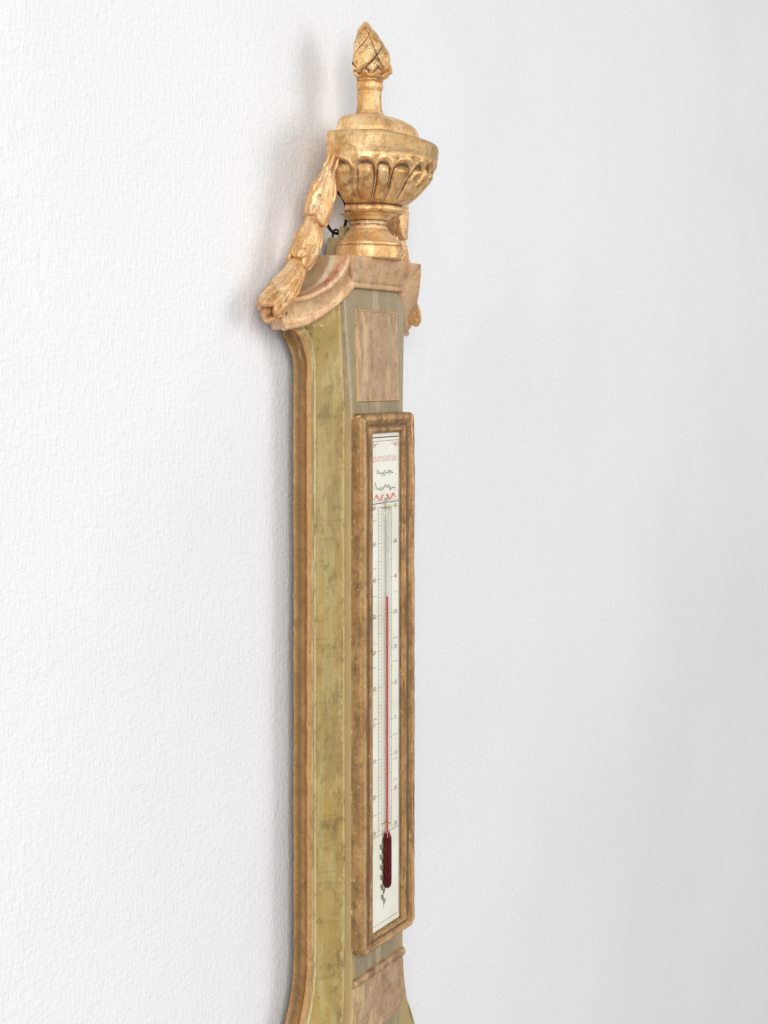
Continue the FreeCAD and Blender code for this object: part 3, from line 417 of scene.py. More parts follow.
def paperShader(name):
    s = Shader(name)
    fibre = s.noise(500, 6, rough=0.7)
    broad = s.noise(26, 4)
    foxing = s.span(s.noise(150, 3), 0.68, 0.78)
    color = s.mix(s.span(broad, 0.35, 0.7), (0.80, 0.79, 0.70), (0.72, 0.69, 0.56))
    color = s.mix(s.math("MULTIPLY", foxing, 0.45), color, (0.48, 0.34, 0.18))
    color = s.mix(s.math("MULTIPLY", s.span(fibre, 0.5, 0.7), 0.12), color, (0.5, 0.46, 0.36))
    s.set(Base_Color=color, Roughness=0.8)
    s.bump(fibre, 0.3, 0.0001)
    return s.material


def glassShader(name, tint=(0.96, 0.98, 0.97), rough=0.02):
    s = Shader(name)
    smear = s.noise(40, 4)
    s.set(Base_Color=(*tint, 1), Transmission_Weight=1.0, IOR=1.47,
          Roughness=s.span(smear, 0.4, 0.8, rough, rough + 0.06))
    return s.material


def inkShader(name, color, fade):
    s = Shader(name)
    patch = s.noise(800, 4, rough=0.7)
    s.set(Base_Color=s.mix(s.span(patch, 0.42, 0.66), color, fade), Roughness=0.7)
    return s.material


def liquidShader(name, bulb, column, below):
    # deep red where the body of liquid is thick, clear red in the thin stem
    s = Shader(name)
    height = s.node("ShaderNodeSeparateXYZ")
    s.put(height.inputs[0], s.coord)
    thick = s.mix(s.noise(80, 3), bulb, tuple(c * 0.6 for c in bulb))
    s.set(Base_Color=s.mix(s.span(height.outputs[2], below - 0.001, below + 0.001), thick, column),
          Roughness=0.25)
    s.bsdf.inputs["Specular IOR Level"].default_value = 0.0
    return s.material


gilt = giltShader("carvedGilding", brightGilt)
flatGilt = giltShader("wornGilding", dullGilt)
# the two greens are one paint, coloured as lit on the field and on the pilaster: painted light
green = paintShader("fieldGreenAsLit", fieldPaint)
pilasterLitGreen = paintShader("pilasterGreenAsLit", pilasterPaint)
rawWood = woodShader("agedWood", (0.42, 0.33, 0.19), (0.22, 0.15, 0.08))
tabWood = woodShader("tabWood", (0.36, 0.27, 0.14), (0.20, 0.14, 0.065), 60)
brass = metalShader("oldBrass", (0.62, 0.42, 0.16), (0.25, 0.15, 0.06), 0.3)
blued = metalShader("bluedSteel", (0.06, 0.07, 0.12), (0.10, 0.06, 0.05), 0.28)
iron = metalShader("wroughtIron", (0.035, 0.032, 0.03), (0.09, 0.045, 0.025), 0.5, 0.7, 0.7)
quicksilver = metalShader("quicksilver", (0.75, 0.76, 0.78), (0.6, 0.6, 0.62), 0.1)
paper = paperShader("agedPaper")
clear = glassShader("clearGlass")
stemGlass = glassShader("stemGlass", (0.97, 0.98, 0.96), 0.02)
stemGlass.node_tree.nodes["Principled BSDF"].inputs["Specular IOR Level"].default_value = 0.2
spirit = liquidShader("redSpirit", (0.19, 0.0, 0.0), (0.85, 0.06, 0.04), 0.2585)
flameGilt = giltShader("flameGilding", flameGiltValues)
silk = woodShader("silkThread", (0.45, 0.38, 0.28), (0.30, 0.24, 0.17), 200)
blackInk = inkShader("blackInk", (0.03, 0.03, 0.03), (0.16, 0.15, 0.13))
redInk = inkShader("redInk", (0.62, 0.14, 0.12), (0.72, 0.38, 0.32))
greenWash = inkShader("greenWash", (0.20, 0.21, 0.14), (0.40, 0.40, 0.30))
print("materials made")


def sideLine(half, radius, hollow, counts, topZ):
    # right-hand edge from the foot: arc of the round case, straight lean,
    # hollow arc, straight shaft, each tangent to the next
    slope = case["slope"]
    corner = (radius - half * math.cos(slope)) / math.sin(slope)
    start = corner + hollow * math.tan(slope / 2)
    a = np.linspace(0, math.pi / 2 + slope, counts[0])
    arc = np.stack([radius * np.sin(a), -radius * np.cos(a)], -1)
    b = np.linspace(slope, 0, counts[2])
    bend = np.stack([half + hollow * (1 - np.cos(b)), start - hollow * np.sin(b)], -1)
    lean = arc[-1] + (bend[0] - arc[-1]) * np.linspace(0, 1, counts[1] + 2)[1:-1, None]
    z = np.linspace(start, topZ, counts[3] + 1)[1:]
    return np.concatenate([arc, lean, bend, np.stack([np.full(len(z), half), z], -1)])


def caseLine(inset, counts, topZ):
    return sideLine(case["shaftHalf"] - inset, case["roundRadius"] - inset, case["hollowRadius"] + inset,
                    counts, topZ)


def headRise(z):
    return np.maximum(0.0, (z - case["headZ"]) / (case["corniceLow"] - case["headZ"]))


def pilasterLine(inset, counts):
    # the front board's edge, spreading at its head
    line = sideLine(case["pilasterHalf"] - inset, case["pilasterRound"] - inset, case["pilasterHollow"]
                    + inset,
                    counts, case["flareZ"])
    line[:, 0] += case["headSpread"] * headRise(line[:, 1])
    return line


def handMade(points, amount, size, seed):
    # slight unevenness of hand carving, smooth over a few centimetres
    wobble = np.stack([fractal(points, size, seed + 11 * k, 3) for k in range(3)], -1)
    return points + wobble * amount


def mirrorX(points):
    return points * np.array([-1.0, 1.0, 1.0])


def buildMoulding():
    # profile in (inset, depth): thin lip at the wall, one wide cove, front
    # bead, groove and a flat towards the field
    profile = roundOff([(1.0, 0), (0.1, 0.2), (0, 0.9), (0.35, 1.5), (1.3, 2.3), (2.4, 4.0), (2.8, 6.2),
                        (2.4, 8.3),
                        (1.6, 9.9), (0.9, 10.3), (0.3, 10.9), (0.1, 11.9), (0.4, 12.9), (1.1, 13.5),
                        (1.7, 13.7),
                        (1.9, 13.4), (2.1, 13.9), (3.0, 14.7), (4.1, 14.8), (4.3, 14.4), (4.3, 10.0),
                        (4.3, 0)], 2)
    profile = resample(profile, 46)
    t = np.linspace(0, 1.08, 40)[1:]
    reach = case["flareRadius"]
    columns = []
    for inset, depth in profile:
        line = caseLine(inset, (120, 24, 34, 300), case["flareZ"])
        ear = np.stack([case["shaftHalf"] + reach - (reach + inset) * np.cos(t),
                        case["flareZ"] + (reach + inset) * np.sin(t)], -1)
        xz = np.concatenate([line, ear])
        columns.append(stack(xz[:, 0], depth, xz[:, 1]))
    points = np.stack(columns, 1)
    rows = points.shape[0]
    # the ear: a carved swelling that closes at its tip
    k = np.arange(rows)
    ear = smoothStep(rows - 34, rows - 12, k) * (1 - smoothStep(rows - 9, rows - 1, k) * 0.9)
    middle = points.mean(1, keepdims=True)
    swell = 1 + 0.28 * ear - 0.75 * smoothStep(rows - 7, rows - 1, k)
    points = middle + (points - middle) * swell[:, None, None]
    points = handMade(points, 0.30, 60, 3)
    points = handMade(points, 0.18, 12, 7)
    # dents knocked into the front bead
    dent = smoothStep(0.4, 0.8, valueNoise(points, 7, 21)) * smoothStep(9, 12, points[..., 1])
    points[..., 1] -= dent * 0.8
    depth = profile[:, 1]
    # tone by place in the profile: painted highlight on the front bead and the lip at the wall, painted
    # shade in the cove
    groove = 1.0 * np.exp(-((depth - 3.6) / 1.8) ** 2)
    tone = smoothStep(10.2, 11.0, depth) + 0.8 * (1 - smoothStep(0.8, 1.8, depth)) - groove
    tone -= 1.2 * np.exp(-((depth - 9.9) / 0.5) ** 2)
    bead = np.tile(tone * (profile[:, 0] < 3.2), (rows, 1))
    flat = np.tile(smoothStep(13.5, 13.8, depth) * (profile[:, 0] > 1.9), (rows, 1))
    for side, flipped in (("right", False), ("left", True)):
        shown = mirrorX(points) if flipped else points
        piece = Piece("moulding" + side.capitalize())
        piece.grid(shown, False, True, flipped)
        piece.cap(shown[-1], flipped)
        piece.cap(shown[0], not flipped)
        marks = {}
        for key, value in (("bead", bead), ("flat", flat)):
            marks[key] = np.concatenate([value.reshape(-1), np.zeros(piece.count - value.size)])
        piece.finish(edgeGilt, "case", "gilt_wood", ["moulding_" + side], 4, 0.6, 50, marks)


def beadOverlay(s, color, metal):
    # painted highlight on the front bead and the lip, broken up by noise,
    # painted shade in the cove's back, field paint on the flat beside the bead
    tone = s.attribute("bead")
    worn = s.span(s.noise(80, 5, (1, 1, 0.4), 0.7), 0.30, 0.50, 0.35, 1.0)
    bright = s.math("MULTIPLY", s.span(tone, 0.2, 1.0), worn)
    color = s.mix(s.math("MULTIPLY", bright, 0.75), color,
                  s.mix(s.noise(300, 4), (0.40, 0.21, 0.07), (0.66, 0.38, 0.15)))
    # painted shade in the cove's back
    color = s.mix(s.span(tone, -0.1, -1.0, 0.0, 0.7), color, (0.13, 0.075, 0.018))
    flat = s.attribute("flat")
    color = s.mix(flat, color, s.mix(s.span(s.noise(170, 5, (1, 1, 0.2), 0.7), 0.4, 0.6),
                                     (0.30, 0.22, 0.08), (0.46, 0.36, 0.16)))
    return color, s.math("MULTIPLY", metal, s.math("SUBTRACT", 1.0, flat))


edgeGilt = giltShader("mouldingGilding", mouldGilt, beadOverlay)


def fieldCurves():
    counts = (120, 24, 34, 300)
    outer = caseLine(case["mouldingWidth"], counts, case["flareZ"])
    inner = pilasterLine(0, counts)
    z = np.linspace(case["flareZ"], case["corniceLow"] - 2, 48)[1:]
    reach = case["flareRadius"] + case["mouldingWidth"]
    turn = np.arcsin(np.minimum(0.88, (z - case["flareZ"]) / reach))
    x = case["shaftHalf"] + case["flareRadius"] - reach * np.cos(turn)
    outer = np.concatenate([outer, np.stack([x, z], -1)])
    head = case["pilasterHalf"] + case["headSpread"] * headRise(z)
    return outer, np.concatenate([inner, np.stack([head, z], -1)])


def buildFields():
    # (share of the way in, depth): pale fillet, canted face, groove, inner lip
    profile = [(0.0, 6), (0.0, 14.1), (0.02, 14.8), (0.06, 15.3), (0.10, 15.3), (0.115, 15.5)]
    profile += [(0.115 + 0.80 * k / 20, 15.5 + 12.6 * k / 20) for k in range(1, 21)]
    profile += [(0.93, 28.0), (0.955, 28.5), (1.0, 28.9), (1.2, 28.9), (1.2, 23), (0.5, 12), (0.5, 6)]
    profile = np.array(profile)
    outer, inner = fieldCurves()
    columns = []
    for share, depth in profile:
        xz = outer + (inner - outer) * share
        columns.append(stack(xz[:, 0], depth, xz[:, 1]))
    points = np.stack(columns, 1)
    # tucked in under the wing's lower edge
    under = wingPoint(np.linspace(0, math.pi / 2, 60), False)
    limit = np.interp(points[..., 0], under[:, 0], under[:, 2])
    points[..., 2] = np.minimum(points[..., 2], limit + 3)
    front = smoothStep(13, 14, points[..., 1]) * (np.arange(len(profile)) < 29)
    points[..., 1] += front * fractal(points * [1, 1, 0.4], 30, 31) * 0.35
    points[..., 1] += front * fractal(points * [1, 1, 0.15], 5, 37) * 0.12
    for side, flipped in (("right", False), ("left", True)):
        shown = mirrorX(points) if flipped else points
        piece = Piece("field" + side.capitalize())
        piece.grid(shown, False, True, flipped)
        piece.cap(shown[-1], flipped)
        piece.cap(shown[0], not flipped)
        piece.finish(green, "case", "green_paint", ["field_" + side], 3, 0.35)


def buildPilaster():
    # a ribbon from the dial's opening and the shaft's middle line out to the
    # board's edge, with a softened arris and a groove where it meets the field
    counts = (120, 24, 34, 280)
    z = np.linspace(case["flareZ"], case["corniceLow"], 30)[1:]

    def outerAt(inset):
        head = case["pilasterHalf"] - inset + case["headSpread"] * headRise(z)
        return np.concatenate([pilasterLine(inset, counts), np.stack([head, z], -1)])

    turned = math.pi / 2 + case["slope"]
    angle = np.concatenate([np.linspace(0, turned, counts[0]), np.linspace(turned, math.pi, 59)[1:]])
    hole = np.stack([np.sin(angle), -np.cos(angle)], -1) * case["dialOpening"]
    rest = len(outerAt(0)) - len(hole)
    middle = np.linspace(case["dialOpening"], case["corniceLow"], rest + 1)[1:]
    inner = np.concatenate([hole, np.stack([np.zeros(rest), middle], -1)])
    front = case["frontDepth"]
    columns = [stack(inner[:, 0], 29, inner[:, 1]), stack(inner[:, 0], front, inner[:, 1])]
    near = outerAt(0.9)
    for k in range(1, 17):
        xz = inner + (near - inner) * (k / 16)
        columns.append(stack(xz[:, 0], front, xz[:, 1]))
    for inset, depth in ((0.35, front - 0.12), (0.05, front - 0.6), (0.0, front - 1.2), (0.0, front - 3.0),
                         (0.1, front - 4.6), (0.5, front - 5.2), (0.5, 29)):
        xz = outerAt(inset)
        columns.append(stack(xz[:, 0], depth, xz[:, 1]))
    points = np.stack(columns, 1)
    points[..., 1] -= headRise(points[..., 2]) * case["headLean"] * smoothStep(29.5, 34, points[..., 1])
    points[:, 2:-1, 1] += (fractal(points * [1, 1, 0.3], 22, 41) * 0.16)[:, 2:-1]
    piece = Piece("pilasterFront")
    for flipped in (False, True):
        shown = mirrorX(points) if flipped else points
        piece.grid(shown, False, False, flipped)
        piece.grid(np.stack([shown[:, -1], shown[:, 0]], 1), False, False, flipped)
    piece.finish(pilasterLitGreen, "case", "grey_green_paint", ["pilaster_front"], 3, 0.3)


cornice = {
    "halfTop": 51.0, "halfLow": 33.4, "depthTop": 41.7, "depthLow": 35.2,
    "outTop": 38.0, "outLow": 50.0, "fallTop": 30.5, "fallLow": 30.0, "endTop": 14.0, "endLow": 12.0,
    "bowTop": 0.9, "bowLow": 0.6,
}


def wingPoint(turn, top):
    # straight in plan from the front corner to its end; in height a hollow
    # curve: share = (1 - cos t)^bow, z falls as sin t
    key = "Top" if top else "Low"
    z = case["cornice" + key]
    share = (1 - np.cos(turn)) ** cornice["bow" + key]
    depth = cornice["depth" + key] - (cornice["depth" + key] - cornice["end" + key]) * share
    return stack(cornice["half" + key] + cornice["out" + key] * share, depth, z - cornice["fall" + key]
                 * np.sin(turn))


bandShape = [(0.0, -0.8), (0.015, 0.3), (0.05, 1.0), (0.10, 1.5), (0.15, 1.1), (0.18, 0.0), (0.24, -1.2),
             (0.40, -2.0), (0.60, -1.9), (0.76, -1.0), (0.82, 0.1), (0.85, 0.9), (0.91, 1.4),
             (0.97, 0.8), (1.0, -0.3)]


def bandGrid(low, high, shape, count):
    # profile between two edge curves; the second number is how far the
    # surface stands out along the band's own normal
    shape = resample(roundOff(shape, 2), count)
    along = np.gradient(low, axis=0)
    across = high - low
    normal = np.cross(along, across)
    normal /= np.linalg.norm(normal, axis=1)[:, None]
    normal *= np.sign(normal[:, 1:2])
    return (low[:, None] + across[:, None] * shape[None, :, 0:1] + normal[:, None] * shape[None, :, 1:2])


def buildWings():
    turn = np.linspace(0, math.pi / 2, 90)
    low = wingPoint(turn, False)
    high = wingPoint(turn, True)
    band = bandGrid(low, high, bandShape, 40)
    share = np.linspace(0, 1, 26)[1:]
    rear = band[:, -1:]
    topWay = rear * (1 - share[None, :, None] * np.array([0, 1, 0]))
    lowWay = band[:, :1] * (1 - share[None, ::-1, None] * np.array([0, 1, 0]))
    points = np.concatenate([lowWay, band, topWay], 1)
    # how far back from the gold edge each point of the upper flank lies
    back = np.full(points.shape[:2], -1.0)
    back[:, 65:] = rear[..., 1] - topWay[..., 1]
    points = handMade(points, 0.22, 12, 51) * [1, 0, 1] + points * [0, 1, 0]
    # the outer end is broken and rough
    end = smoothStep(1.3, 1.57, turn)[:, None]
    points[..., 0] += end * fractal(points, 6, 61) * 1.6
    points[..., 2] += end * fractal(points, 5, 67) * 1.1
    for side, flipped in (("right", False), ("left", True)):
        shown = mirrorX(points) if flipped else points
        piece = Piece("corniceWing" + side.capitalize())
        piece.grid(shown, False, False, not flipped)
        piece.grid(shown[:, [-1, 0]], False, False, not flipped)
        piece.cap(shown[0], flipped)
        piece.cap(shown[-1], not flipped)
        padded = np.concatenate([back.reshape(-1), np.full(piece.count - back.size, -1.0)])
        piece.finish(wingGilt, "case", "gilt_wood", ["cornice_wing_" + side], 4, 0.6, 50, {"back": padded})


def wingOverlay(s, color, metal):
    # the wing's outer flank, by distance back from its gold edge: bare red
    # bole, a patch of gesso, then thin grey gold
    back = s.attribute("back")
    edge = s.math("ADD", back, s.math("MULTIPLY", s.math("SUBTRACT", s.noise(120, 4), 0.5), 3.0))
    spread = s.math("ADD", back, s.math("MULTIPLY", s.math("SUBTRACT", s.noise(70, 5), 0.5), 12.0))
    worn = s.span(s.noise(45, 5, rough=0.7), 0.40, 0.62, 0.25, 0.95)
    bole = s.math("MULTIPLY", s.math("MULTIPLY", s.span(edge, 1.0, 2.2), s.span(edge, 8.0, 6.4)), worn)
    gesso = s.math("MULTIPLY", s.math("MULTIPLY", s.span(spread, 7.8, 9.4), s.span(spread, 15.5, 12.5)),
                   worn)
    color = s.mix(s.math("MULTIPLY", s.span(back, 8.0, 12.0), 0.6), color, (0.36, 0.28, 0.17))
    color = s.mix(gesso, color, (0.72, 0.63, 0.44))
    color = s.mix(bole, color, (0.34, 0.10, 0.07))
    return color, s.math("MULTIPLY", metal, s.math("SUBTRACT", 1.0, s.math("MAXIMUM", bole, gesso)))


wingGilt = giltShader("wingGilding", dict(brightGilt, gold=(0.66, 0.41, 0.20), goldPale=(0.80, 0.55, 0.32),
                                          goldDeep=(0.50, 0.27, 0.11), brown=(0.42, 0.23, 0.13), blotch=0.06,
                                          shade=0.45, dirtAndShadeFrom=0.60, bole=(0.45, 0.22, 0.16), boleFrom=0.56,
                                          boleMost=0.5, metal=0.3, rough=0.40, crack=0.0), wingOverlay)


def runBack(edge, share):
    # from an edge of the band into the case, ending 6 mm out from the wall
    flat = edge * np.array([1, 0, 1])
    share = share[None, :, None]
    return flat + (edge - flat) * (1 - share) + np.array([0, 6, 0]) * share


def buildCornice():
    x = np.linspace(-1, 1, 90)
    low = stack(x * cornice["halfLow"], cornice["depthLow"], case["corniceLow"])
    high = stack(x * cornice["halfTop"], cornice["depthTop"], case["corniceTop"])
    shape = [(0.0, -0.4), (0.02, 0.5), (0.07, 1.0), (0.12, 0.9), (0.15, 0.1), (0.18, -0.7), (0.30, -0.6),
             (0.55, 0.1),
             (0.8, 0.35), (0.95, 0.2), (0.985, -0.1), (1.0, -0.6)]
    band = bandGrid(low, high, shape, 36)
    share = np.linspace(0, 1, 14)[1:]
    points = np.concatenate([runBack(band[:, :1], share[::-1]), band, runBack(band[:, -1:], share)], 1)
    points = points + (fractal(points, 16, 71) * 0.22)[..., None] * np.array([0, 1, 0.3])
    chip = smoothStep(0.45, 0.8, valueNoise(points, 5, 77)) * smoothStep(40.8, 41.6, points[..., 1])
    points[..., 1] -= chip * 0.8
    piece = Piece("corniceFront")
    piece.grid(points, False, True, True)
    piece.cap(points[0], False)
    piece.cap(points[-1], True)
    piece.finish(flatGilt, "case", "gilt_wood", ["cornice_front"], 4, 0.6)


buildMoulding()
buildFields()
buildPilaster()
print("case built")
buildWings()
buildCornice()
print("cornice built")


# the urn stands on the cornice; depth is that of its axis, the backs are
# how much wood is left behind the axis
urn = {
    "depth": 26.8, "bowlBack": 3.5, "footBack": 13.5, "flutes": 19,
}


def turnedGrid(profile, rows, columns, back, shape=None):
    # surface of revolution, cut flat behind the axis; shape may move points
    # outwards by angle and height
    p = resample(profile, rows)
    angle = np.linspace(0, 2 * math.pi, columns, endpoint=False)
    radius = p[:, 0:1] + 0 * angle
    height = p[:, 1:2] + 0 * angle
    if shape is not None:
        radius, height = shape(radius, height, angle[None, :] + 0 * radius)
    points = stack(radius * np.sin(angle), urn["depth"] + radius * np.cos(angle), height)
    points[..., 1] = np.maximum(points[..., 1], urn["depth"] - back)
    return points


def towardsWornSide(points):
    # distance from the urn's axis towards its front right, where it is worn and where the rim band gets
    # painted shade
    return 0.5 * points[..., 0] + 0.866 * (points[..., 1] - urn["depth"])


def chipAt(points, centre, radius, depth, seed):
    # bites a flake out of the surface near one spot
    offset = points - np.array(centre)
    distance = np.linalg.norm(offset, axis=-1) + fractal(points, 3, seed) * radius * 0.25
    bite = 1 - smoothStep(radius * 0.75, radius, distance)
    inward = points - np.array([0, urn["depth"], 0])
    inward[..., 2] = 0
    inward /= np.maximum(np.linalg.norm(inward, axis=-1, keepdims=True), 1e-6)
    return points - inward * (bite * depth)[..., None], bite


def buildUrn():
    foot = [(0, 664), (25.0, 664), (25.4, 664.6), (25.4, 672.6), (24.8, 673.2), (24.3, 673.4), (24.6, 674.6),
            (23.8, 676.2), (22.6, 676.8), (21.8, 678.0), (17.5, 681.5), (14.2, 685.0), (12.9, 688.4),
            (13.6, 691.5),
            (17.0, 694.5), (21.5, 696.2), (21.5, 696.6), (0, 696.6)]
    points = turnedGrid(foot, 90, 150, urn["footBack"])
    points = points + (fractal(points, 9, 81) * 0.22)[..., None]
    # flake broken away along the foot's lower edge
    flake = smoothStep(5.0, 6.5,
                       points[..., 0]) * (1 - smoothStep(10.5, 11.5, points[..., 0])) * (points[..., 1] > 40)
    flake *= 1 - smoothStep(666.5, 667.6, points[..., 2] + fractal(points, 3, 83) * 0.5)
    points[..., 1] -= flake * 1.6
    piece = Piece("urnFoot").grid(points, False, True)
    piece.finish(gilt, "case", "carved_gilt", ["urn_foot"], 4, 0.5, 40)

    bowl = [(0, 696.4), (24.2, 696.4), (25.4, 697.2), (26.0, 698.8), (25.4, 700.6), (24.0, 701.6),
            (24.6, 702.4),
            (29.5, 705.0), (35.5, 710.5), (41.5, 718.0), (46.2, 725.5), (48.9, 732.0), (49.8, 737.0),
            (50.1, 742.0),
            (49.6, 748.0), (48.8, 749.2), (47.8, 749.6), (40, 749.8), (0, 749.8)]

    def flute(radius, height, angle):
        # across each flute: a proud rounded tongue low down, a deep hollow
        # under the round arch at its head, narrow fillets between; the three
        # parts differ from flute to flute
        pitch = 2 * math.pi / urn["flutes"]
        wander = 0.22 * np.sin(angle * 3 + 1) + 0.12 * np.sin(angle * 7)
        wander = wander + 0.05 * np.sin(height * 0.25 + angle * 5)
        place = angle / pitch + wander
        number = np.floor(place)
        own = np.sin(number * 12.9898) * 0.5 + 0.5
        u = np.abs((place % 1.0) - 0.5) * 2
        head = 731.5 - 6.5 * (1 - np.sqrt(np.clip(1 - u ** 2, 0, 1))) - 3.0 * own
        rise = (height - 702.5) / (head - 702.5)
        inside = smoothStep(0.02, 0.12, rise) * (1 - smoothStep(0.96, 1.04, rise))
        tongue = np.sqrt(np.clip(1 - (u / 0.78) ** 2, 0, 1)) * (3.9 + 1.4 * own) - 2.2
        scoop = -2.6 * np.sqrt(np.clip(1 - (u / 0.90) ** 2, 0, 1))
        form = tongue + (scoop - tongue) * smoothStep(0.62 + 0.12 * own, 0.92, rise)
        rib = 0.9 * np.exp(-((u - 1.0) / 0.16) ** 2) - 0.8 * own * np.exp(-((u - 0.88) / 0.10) ** 2)
        arch = 1.4 * np.exp(-((rise - 1.0) / 0.06) ** 2) * smoothStep(0.5, 0.9, rise)
        size = np.clip(radius / 48.0, 0.3, 1)
        change = inside * (form + rib) * size + arch * (1 - 0.6 * u)
        return radius + change * (height > 702), height

    points = turnedGrid(bowl, 175, 560, urn["bowlBack"], flute)
    points = handMade(points, 0.26, 11, 91)
    # the rim is worn down towards the right
    side = towardsWornSide(points)
    points[..., 2] -= 4.5 * smoothStep(8, 46, side) * smoothStep(741, 749, points[..., 2])
    points, bite = chipAt(points, (41.5, 53.0, 737.0), 5.5, 1.8, 93)
    points, biteTop = chipAt(points, (30.5, 65.5, 747.0), 5.0, 1.8, 97)
    points[..., 2] -= biteTop * 1.2
    piece = Piece("urnBowl").grid(points, False, True)
    bare = np.clip(bite + biteTop + smoothStep(747.6, 748.6, points[..., 2]) * smoothStep(10, 30, side), 0,
                   1)
    # rim band mask, stronger to the front right: wear and painted shade
    rim = smoothStep(731, 736, points[..., 2]) * (0.35 + 0.65 * smoothStep(-25, 30, side))
    piece.finish(bowlGilt, "case", "carved_gilt", ["urn_bowl"], 6, 0.8, 60,
                 {"bare": bare.reshape(-1), "rim": rim.reshape(-1)})

    lid = [(0, 748.0), (36.0, 748.0), (36.6, 748.8), (36.6, 751.0), (36.0, 754.2), (34.4, 757.6),
           (31.6, 760.2),
           (27.0, 762.6), (20.0, 764.6), (13.5, 766.0), (11.9, 767.2), (10.5, 769.6), (9.7, 774.0),
           (9.5, 780.0),
           (9.8, 784.0), (10.7, 785.2), (11.1, 787.0), (10.8, 789.4), (9.8, 790.2), (0, 790.2)]
    points = turnedGrid(lid, 130, 150, urn["bowlBack"])
    points = handMade(points, 0.24, 10, 101)
    # the lid sits a little low on the right
    below = 1 - smoothStep(768, 784, points[..., 2])
    points[..., 2] -= 0.05 * towardsWornSide(points) * below
    Piece("urnLid").grid(points, False, True).finish(gilt, "case", "carved_gilt", ["urn_lid"], 4, 0.5, 45)

    flame = [(0, 789.8), (9.6, 789.8), (10.8, 790.8), (10.4, 792.0), (12.8, 793.4), (15.2, 796.6),
             (15.5, 801.0),
             (14.9, 806.0), (13.2, 812.0), (10.6, 818.5), (7.4, 824.5), (4.2, 829.6), (1.8, 832.4),
             (0, 833.4)]

    def tongues(radius, height, angle):
        # twisted tongues of flame that overlap like scales, cut by crossing
        # grooves, with a jagged hollow above the collar
        rise = np.clip((height - 792) / 41, 0, 1)
        phase = angle * 4 + rise * 5.2 + 0.5 * np.sin(angle * 2 + rise * 9)
        wave = np.abs(np.sin(phase / 2))
        second = np.abs(np.sin(angle * 2.5 - rise * 6.5 + 0.7))
        cut = -1.5 * np.exp(-(wave / 0.12) ** 2) - 1.3 * np.exp(-(second / 0.09) ** 2)
        swell = 0.9 * wave + 0.7 * second
        jagged = -2.6 * np.exp(-((rise - 0.10 - 0.05 * np.sin(angle * 9)) / 0.035) ** 2)
        size = smoothStep(0.0, 0.08, rise) * (1 - smoothStep(0.90, 1.0, rise))
        return np.maximum(radius + (cut + swell + jagged) * size * np.clip(radius / 14, 0.35, 1), 0), height

    points = turnedGrid(flame, 150, 240, urn["bowlBack"], tongues)
    # the tip leans right, the lower right side bulges
    rise = np.clip((points[..., 2] - 800) / 33, 0, 1)
    points[..., 0] -= 2.6 * rise ** 1.5
    points[..., 1] -= 0.5 * rise ** 1.5
    points = points + (fractal(points, 6, 111) * 0.4)[..., None]
    Piece("flameFinial").grid(points, False, True).finish(flameGilt, "case", "carved_gilt",
                                                          ["flame_finial"], 5, 0.6, 60)


def chipOverlay(s, color, metal):
    # bare pale wood where the rim is broken; the rim band's gold is rubbed
    # and greenish, with painted shade making it darker towards the front right
    pale = s.mix(s.noise(300, 3, (1, 1, 0.2)), (0.84, 0.70, 0.42), (0.62, 0.45, 0.20))
    amount = s.span(s.attribute("bare"), 0.35, 0.6)
    band = s.span(s.attribute("rim"), 0.2, 0.8)
    worn = s.span(s.noise(60, 5, (0.35, 0.35, 2.2), 0.65), 0.40, 0.60, 0.55, 1.0)
    worn = s.math("MULTIPLY", s.math("MULTIPLY", worn, band), 0.95)
    color = s.mix(worn, color, s.mix(s.noise(200, 4, (0.5, 0.5, 2)), (0.24, 0.15, 0.05),
                                     (0.42, 0.27, 0.105)))
    metal = s.math("MULTIPLY", metal, s.math("SUBTRACT", 1.0, s.math("MAXIMUM", amount, worn)))
    return s.mix(amount, color, pale), metal


bowlGilt = giltShader("bowlGilding", dict(brightGilt, gold=(0.78, 0.47, 0.19), goldPale=(0.92, 0.63, 0.32),
                                          shade=0.7,
                                           streak=(1.6, 1.6, 0.4), metal=0.65, rough=0.34, dirtAndShadeFrom=0.20,
                                          blotch=0.25), chipOverlay)
buildUrn()
print("urn built")


swag = {
    "path": [(44.0, 30.0, 740.0), (46.5, 26.8, 730.0), (49.0, 23.0, 716.0), (54.0, 18.6, 694.0),
             (62.5, 14.6, 669.0),
             (76.0, 12.5, 648.0), (91.5, 10.5, 633.0), (106.0, 8.5, 620.0)],
    # start along the path, length, radius at start and near the tips, leaves
    "bunches": [(0.0, 26.0, 1.6, 3.2, 3), (16.0, 44.0, 2.4, 8.4, 4), (52.0, 42.0, 4.4, 9.0, 4),
                (88.0, 52.0, 4.6, 9.0, 4)],
    "thickness": 3.6, "seed": 9,
}


def smoothPath(points, count):
    # Catmull-Rom through the stations
    p = np.array(points, float)
    p = np.concatenate([2 * p[:1] - p[1:2], p, 2 * p[-1:] - p[-2:-1]])
    spans = len(p) - 3
    t = np.linspace(0, spans - 1e-9, count)
    i = t.astype(int)
    u = (t - i)[:, None]
    a, b, c, d = p[i], p[i + 1], p[i + 2], p[i + 3]
    return 0.5 * (2 * b + (c - a) * u + (2 * a - 5 * b + 4 * c - d) * u ** 2 + (3 * b - a - 3 * c + d)
                  * u ** 3)


